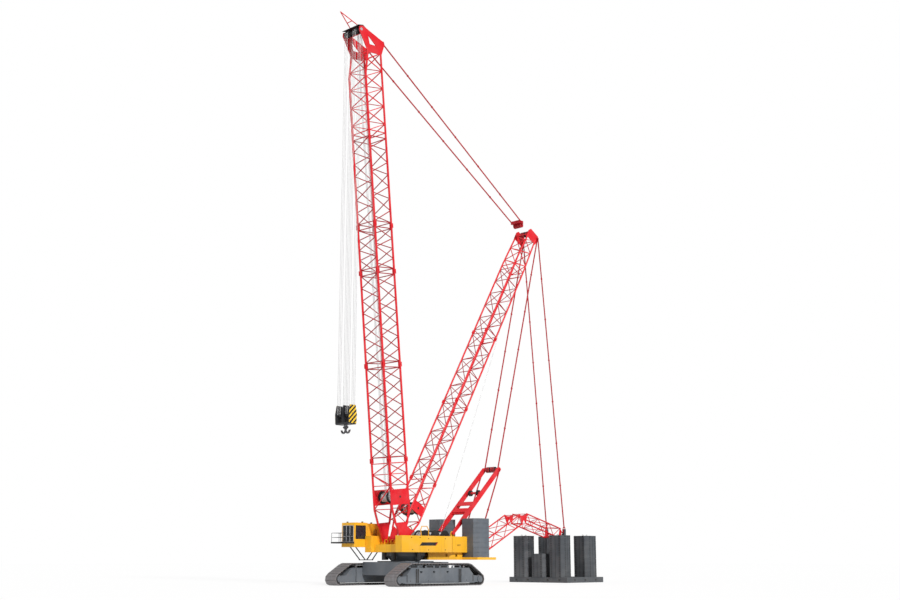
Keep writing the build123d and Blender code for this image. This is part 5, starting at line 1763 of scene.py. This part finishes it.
class Ballast(SubAssembly):
    """Lifting lugs and grooves on the tray's piles; the grooves and the tray's pockets are black strips of
    painted shade.
    """

    size = TraySizes()

    def stacks(self) -> list[Stack]:
        """The tray's piles."""
        return [Stack(self.size.middle + x, *rest) for x, *rest in self.size.piles]

    def faces(self, stack: Stack) -> list[tuple[float, float, float, float]]:
        """Finds the four flat sides of a pile.

        Args:
            stack: The pile.

        Returns:
            Each side's middle as x and y, its turn about Z, and its flat width.
        """
        half_x, half_y, cut = stack.long / 2, stack.wide / 2, self.size.cut * stack.long
        return [(stack.x + half_x, stack.y, 0.0, stack.wide - 2 * cut),
                (stack.x - half_x, stack.y, math.pi, stack.wide - 2 * cut),
                (stack.x, stack.y + half_y, math.pi / 2, stack.long - 2 * cut),
                (stack.x, stack.y - half_y, -math.pi / 2, stack.long - 2 * cut)]

    def lug(self) -> bpy.types.Object:
        """One lifting lug, standing out along +X."""
        form = Form()
        form.prism([(-0.01, -0.06, -0.04), (-0.01, 0.06, -0.04), (-0.01, 0.06, 0.04), (-0.01, -0.06, 0.04)],
                   [(0.012, -0.05, -0.03), (0.012, 0.05, -0.03), (0.012, 0.05, 0.032), (0.012, -0.05, 0.032)])
        return form.done("lug", self.wardrobe, Finish.BLACK)

    def build(self) -> None:
        """Makes lugs, lifting eyes, and the grooves and pockets as black strips of painted shade."""
        size = self.size
        places = []
        grooves, eyes = self.form(), []
        for stack in self.stacks():
            count = round((stack.top - size.top) / size.slab)
            pitch = (stack.top - size.top) / count
            for x, y, turn, width in self.faces(stack):
                across = Vector((-math.sin(turn), math.cos(turn), 0.0))
                out = Vector((math.cos(turn), math.sin(turn), 0.0))
                for share in size.lug_shares:
                    for step in range(count):
                        at = self.level.at(x, y, size.top + (step + 0.5) * pitch)
                        places.append((at + across * width * share, (0.0, 0.0, turn), (1.0, 1.0, 1.0)))
                # A black strip down the middle of each face, painted shade in the groove.
                low, high = Vector((x, y, 0)) - across * 0.014, Vector((x, y, 0)) + across * 0.014
                corners = [low - out * 0.002, high - out * 0.002, high + out * 0.004, low + out * 0.004]
                grooves.prism([(p.x, p.y, size.top + 0.02) for p in corners],
                              [(p.x, p.y, stack.top - 0.02) for p in corners])
            for end in (-1, 1):
                x, y = stack.x + end * 0.22, stack.y
                eyes.append(([self.level.at(x, y - 0.06, stack.top - 0.01),
                              self.level.at(x, y - 0.04, stack.top + 0.07),
                              self.level.at(x, y + 0.04, stack.top + 0.07),
                              self.level.at(x, y + 0.06, stack.top - 0.01)], 0.014))
        lugs = self.nodes.copies("ballast_lugs", self.lug(), places, Finish.BLACK)
        self.keep(lugs, "tray", Finish.BLACK)
        self.keep(self.nodes.bars("ballast_eyes", eyes, Finish.BALLAST, 8), "tray", Finish.BALLAST)
        # The tray's pockets are black sheets, painted shade inside them.
        wide, foot, top = size.pocket
        for end in (-1, 1):
            x = size.middle + end * size.half[0]
            for y in size.pocket_y:
                grooves.block((x - 0.005, y - wide, foot), (x + 0.005, y + wide, top))
            y = end * size.half[1]
            for x in size.pocket_x:
                grooves.block((size.middle + x - wide, y - 0.005, foot),
                              (size.middle + x + wide, y + 0.005, top))
        self.settle(grooves, "ballast_grooves", "tray", Finish.BLACK)


# ---- studio -------------------------------------------------------------------------------
@dataclass(frozen=True)
class Studio:
    """Floor, lights and camera.

    Attributes:
        eye: The camera's place.
        gaze: The way it looks.
        lens: Focal length for a 36 mm sensor.
        floor: Half size of the floor.
    """

    eye: Point = (59.516, 54.8, 1.57)
    gaze: Point = (-0.7112, -0.6703, 0.2119)
    lens: float = 47.9
    floor: float = 400.0

    def build(self) -> None:
        """Makes the floor, the world, the lamps and the camera."""
        self.ground()
        self.sky()
        self.lamp("key", (-0.28, -0.8, -0.62), 2.7, 10.0)
        self.lamp("fill", (-0.9, 0.25, -0.3), 0.25, 40.0)
        camera = bpy.data.cameras.new("camera")
        camera.lens = self.lens
        camera.clip_end = 2000.0
        eye = bpy.data.objects.new("camera", camera)
        eye.location = self.eye
        eye.rotation_euler = Vector(self.gaze).to_track_quat("-Z", "Y").to_euler()
        bpy.context.scene.collection.objects.link(eye)
        bpy.context.scene.camera = eye
        bpy.context.scene.view_settings.view_transform = "Standard"

    def ground(self) -> None:
        """A wide pale floor that shows white to the camera and keeps the crane's shadow."""
        mesh = bpy.data.meshes.new("floor")
        size = self.floor
        mesh.from_pydata([(-size, -size, 0), (size, -size, 0), (size, size, 0), (-size, size, 0)], [],
                         [(0, 1, 2, 3)])
        floor = bpy.data.objects.new("floor", mesh)
        bpy.context.scene.collection.objects.link(floor)
        made, shader, _, surface = new_material("floor_white")
        surface.inputs["Base Color"].default_value = (0.86, 0.86, 0.86, 1.0)
        surface.inputs["Roughness"].default_value = 0.9
        path = shader.node("ShaderNodeLightPath")
        glow = shader.node("ShaderNodeEmission", {"Color": (1.0, 1.0, 1.0, 1.0), "Strength": 1.08})
        seen = shader.math("MAXIMUM", path.outputs["Is Glossy Ray"], path.outputs["Is Transmission Ray"])
        seen = shader.math("MAXIMUM", seen, shader.math("MULTIPLY", path.outputs["Is Camera Ray"], 0.72))
        both = shader.node("ShaderNodeMixShader", {0: seen, 1: surface.outputs[0], 2: glow.outputs[0]})
        end = next(node for node in made.node_tree.nodes if node.type == "OUTPUT_MATERIAL")
        made.node_tree.links.new(both.outputs[0], end.inputs["Surface"])
        mesh.materials.append(made)

    @staticmethod
    def sky() -> None:
        """A plain white surround, dimmer as a light than as a background."""
        world = bpy.data.worlds.new("surround")
        world.use_nodes = True
        bpy.context.scene.world = world
        world.node_tree.nodes.clear()
        shader = Shader(world.node_tree)
        path = shader.node("ShaderNodeLightPath")
        seen = shader.math("MAXIMUM", path.outputs["Is Camera Ray"], path.outputs["Is Transmission Ray"])
        power = shader.math("ADD", shader.math("MULTIPLY", seen, 0.6), 0.4)
        sky = shader.node("ShaderNodeBackground", {"Color": (1.0, 1.0, 1.0, 1.0), "Strength": power})
        shader.node("ShaderNodeOutputWorld", {"Surface": sky.outputs[0]})

    @staticmethod
    def lamp(name: str, travel: Point, power: float, spread_deg: float) -> None:
        """Adds a sun lamp.

        Args:
            name: Its name.
            travel: The way its light travels.
            power: Its strength.
            spread_deg: How soft its shadows are.
        """
        light = bpy.data.lights.new(name, "SUN")
        light.energy = power
        light.angle = math.radians(spread_deg)
        lamp = bpy.data.objects.new(name, light)
        lamp.rotation_euler = Vector(travel).to_track_quat("-Z", "Y").to_euler()
        bpy.context.scene.collection.objects.link(lamp)


# ---- the crane ----------------------------------------------------------------------------
@dataclass
class Crane:
    """The whole crane: its stands, sections and windings.

    Attributes:
        slew_x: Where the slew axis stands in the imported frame.
        boom_foot: The boom's foot as x and z, and its angle from the ground.
        mast_foot: The same of the mast.
        boom_half: Half depth and half width of the boom.
        mast_half: Half depth and half width of the mast.
        boom_bars: Bay, chord radius and lacing radius of the boom.
        mast_bars: The same of the mast.
        boom: The boom's axis system.
        mast: The mast's axis system.
    """

    slew_x: float
    boom_foot: Point = (1.05, 2.695, 84.3)
    mast_foot: Point = (0.7, 2.72, 120.3)
    boom_half: tuple[float, float] = (0.73, 0.797)
    mast_half: tuple[float, float] = (0.54, 0.6)
    boom_bars: Point = (0.805, 0.072, 0.033)
    mast_bars: Point = (1.13, 0.06, 0.027)
    boom: Stand = field(init=False)
    mast: Stand = field(init=False)

    def __post_init__(self) -> None:
        """Sets the boom's and the mast's axis systems."""
        self.boom = Stand(*self.boom_foot[:2], 90 - self.boom_foot[2], self.slew_x)
        self.mast = Stand(*self.mast_foot[:2], 90 - self.mast_foot[2], self.slew_x)

    def boom_towers(self) -> list[Tower]:
        """The boom's straight sections."""
        rows = (("boom_section_lower", 5.02, 6.0), ("boom_section_middle", 11.02, 6.0),
                ("boom_section_short", 17.02, 3.0), ("boom_section_upper", 20.02, 6.0))
        bay, chord, lace = self.boom_bars
        return [Tower(node, start, length, bay, *self.boom_half, chord, lace)
                for node, start, length in rows]

    def mast_towers(self) -> list[Tower]:
        """The mast's straight sections."""
        rows = (("mast_section_lower", 4.4), ("mast_section_middle", 10.4), ("mast_section_upper", 16.4))
        bay, chord, lace = self.mast_bars
        return [Tower(node, start, 6.0, bay, *self.mast_half, chord, lace, battened=True)
                for node, start in rows]

    def windings(self) -> list[Winding]:
        """The rope on each drum."""
        level = Stand(0.0, 0.0, 0.0, self.slew_x)
        made = [Winding("boom_drum_rope", "boom_winch", self.boom, (0.0, 2.72), 0.71),
                Winding("mast_drum_rope", "mast_winch", self.mast, (0.0, 2.35), 0.515)]
        for place, x in (("front", -1.15), ("middle", -2.05), ("rear", -2.95)):
            made.append(Winding("deck_drum_rope_" + place, "deck_winch_" + place, level, (x, 3.01), 0.575))
        return made


NODE_FINISHES: dict[str, Finish] = {
    "carbody": Finish.SLATE, "crawler_frames": Finish.SLATE, "counterweights": Finish.SLATE,
    "tray_base": Finish.BALLAST, "tray_weights": Finish.BALLAST, "slew_drives": Finish.BLACK,
    "track_wheels": Finish.STEEL, "walkway": Finish.BLACK, "access_ladder": Finish.BLACK,
    "head_sheaves": Finish.BLACK, "hook_block": Finish.DARK_BLOCK, "ram_hook": Finish.HOOK,
    "drum_stands": Finish.BLACK,
    "cab_glass": Finish.GLASS, "cab_door_glass": Finish.GLASS, "cab_seat": Finish.CLOTH,
    # Stays, ties and the luffing block are in the red that is darkened as painted shade.
    "luffing_block": Finish.DEEP_RED, "boom_stays": Finish.DEEP_RED, "mast_stays": Finish.DEEP_RED,
    "tray_stays": Finish.DEEP_RED, "gantry_ties": Finish.DEEP_RED,
}


def node_finish(name: str) -> Finish:
    """The finish of a node that is shown as it was packed.

    Args:
        name: The node's name.

    Returns:
        Its finish.
    """
    if name in NODE_FINISHES:
        return NODE_FINISHES[name]
    if "drum" in name and name != "drum_stands":
        return Finish.BLACK
    reds = ("boom", "mast", "gantry", "guide", "tray_stays")
    return Finish.RED if name.startswith(reds) else Finish.YELLOW


def main() -> None:
    """Dresses the crane and reports each piece."""
    logging.basicConfig(level=logging.INFO, format="%(name)s %(message)s")
    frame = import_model()
    low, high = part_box("carbody")
    crane = Crane((low.x + high.x) / 2)
    wardrobe = Wardrobe()
    nodes = NodeForm(wardrobe)
    Studio().build()
    for name, thing in frame["nodes"].items():
        wardrobe.dress(thing, node_finish(name))
    parts = (wardrobe, nodes, crane.slew_x)
    lattices = Lattices(*parts)
    lattices.build("boom", "boom", crane.boom, crane.boom_towers(), 0.1)
    lattices.build("mast", "superstructure", crane.mast, crane.mast_towers(), 0.085)
    Crawlers(*parts).build()
    Winches(*parts).build(crane.windings())
    Hoist(*parts).build()
    UpperWorks(*parts).build()
    Cab(*parts).build()
    BoomWorks(*parts).build(crane.boom)
    MastWorks(*parts).build(crane.mast, (-3.14, 0.0, 3.2))
    GantryWorks(*parts).build()
    HookWorks(*parts).build()
    Ballast(*parts).build()


if __name__ == "__main__":
    main()
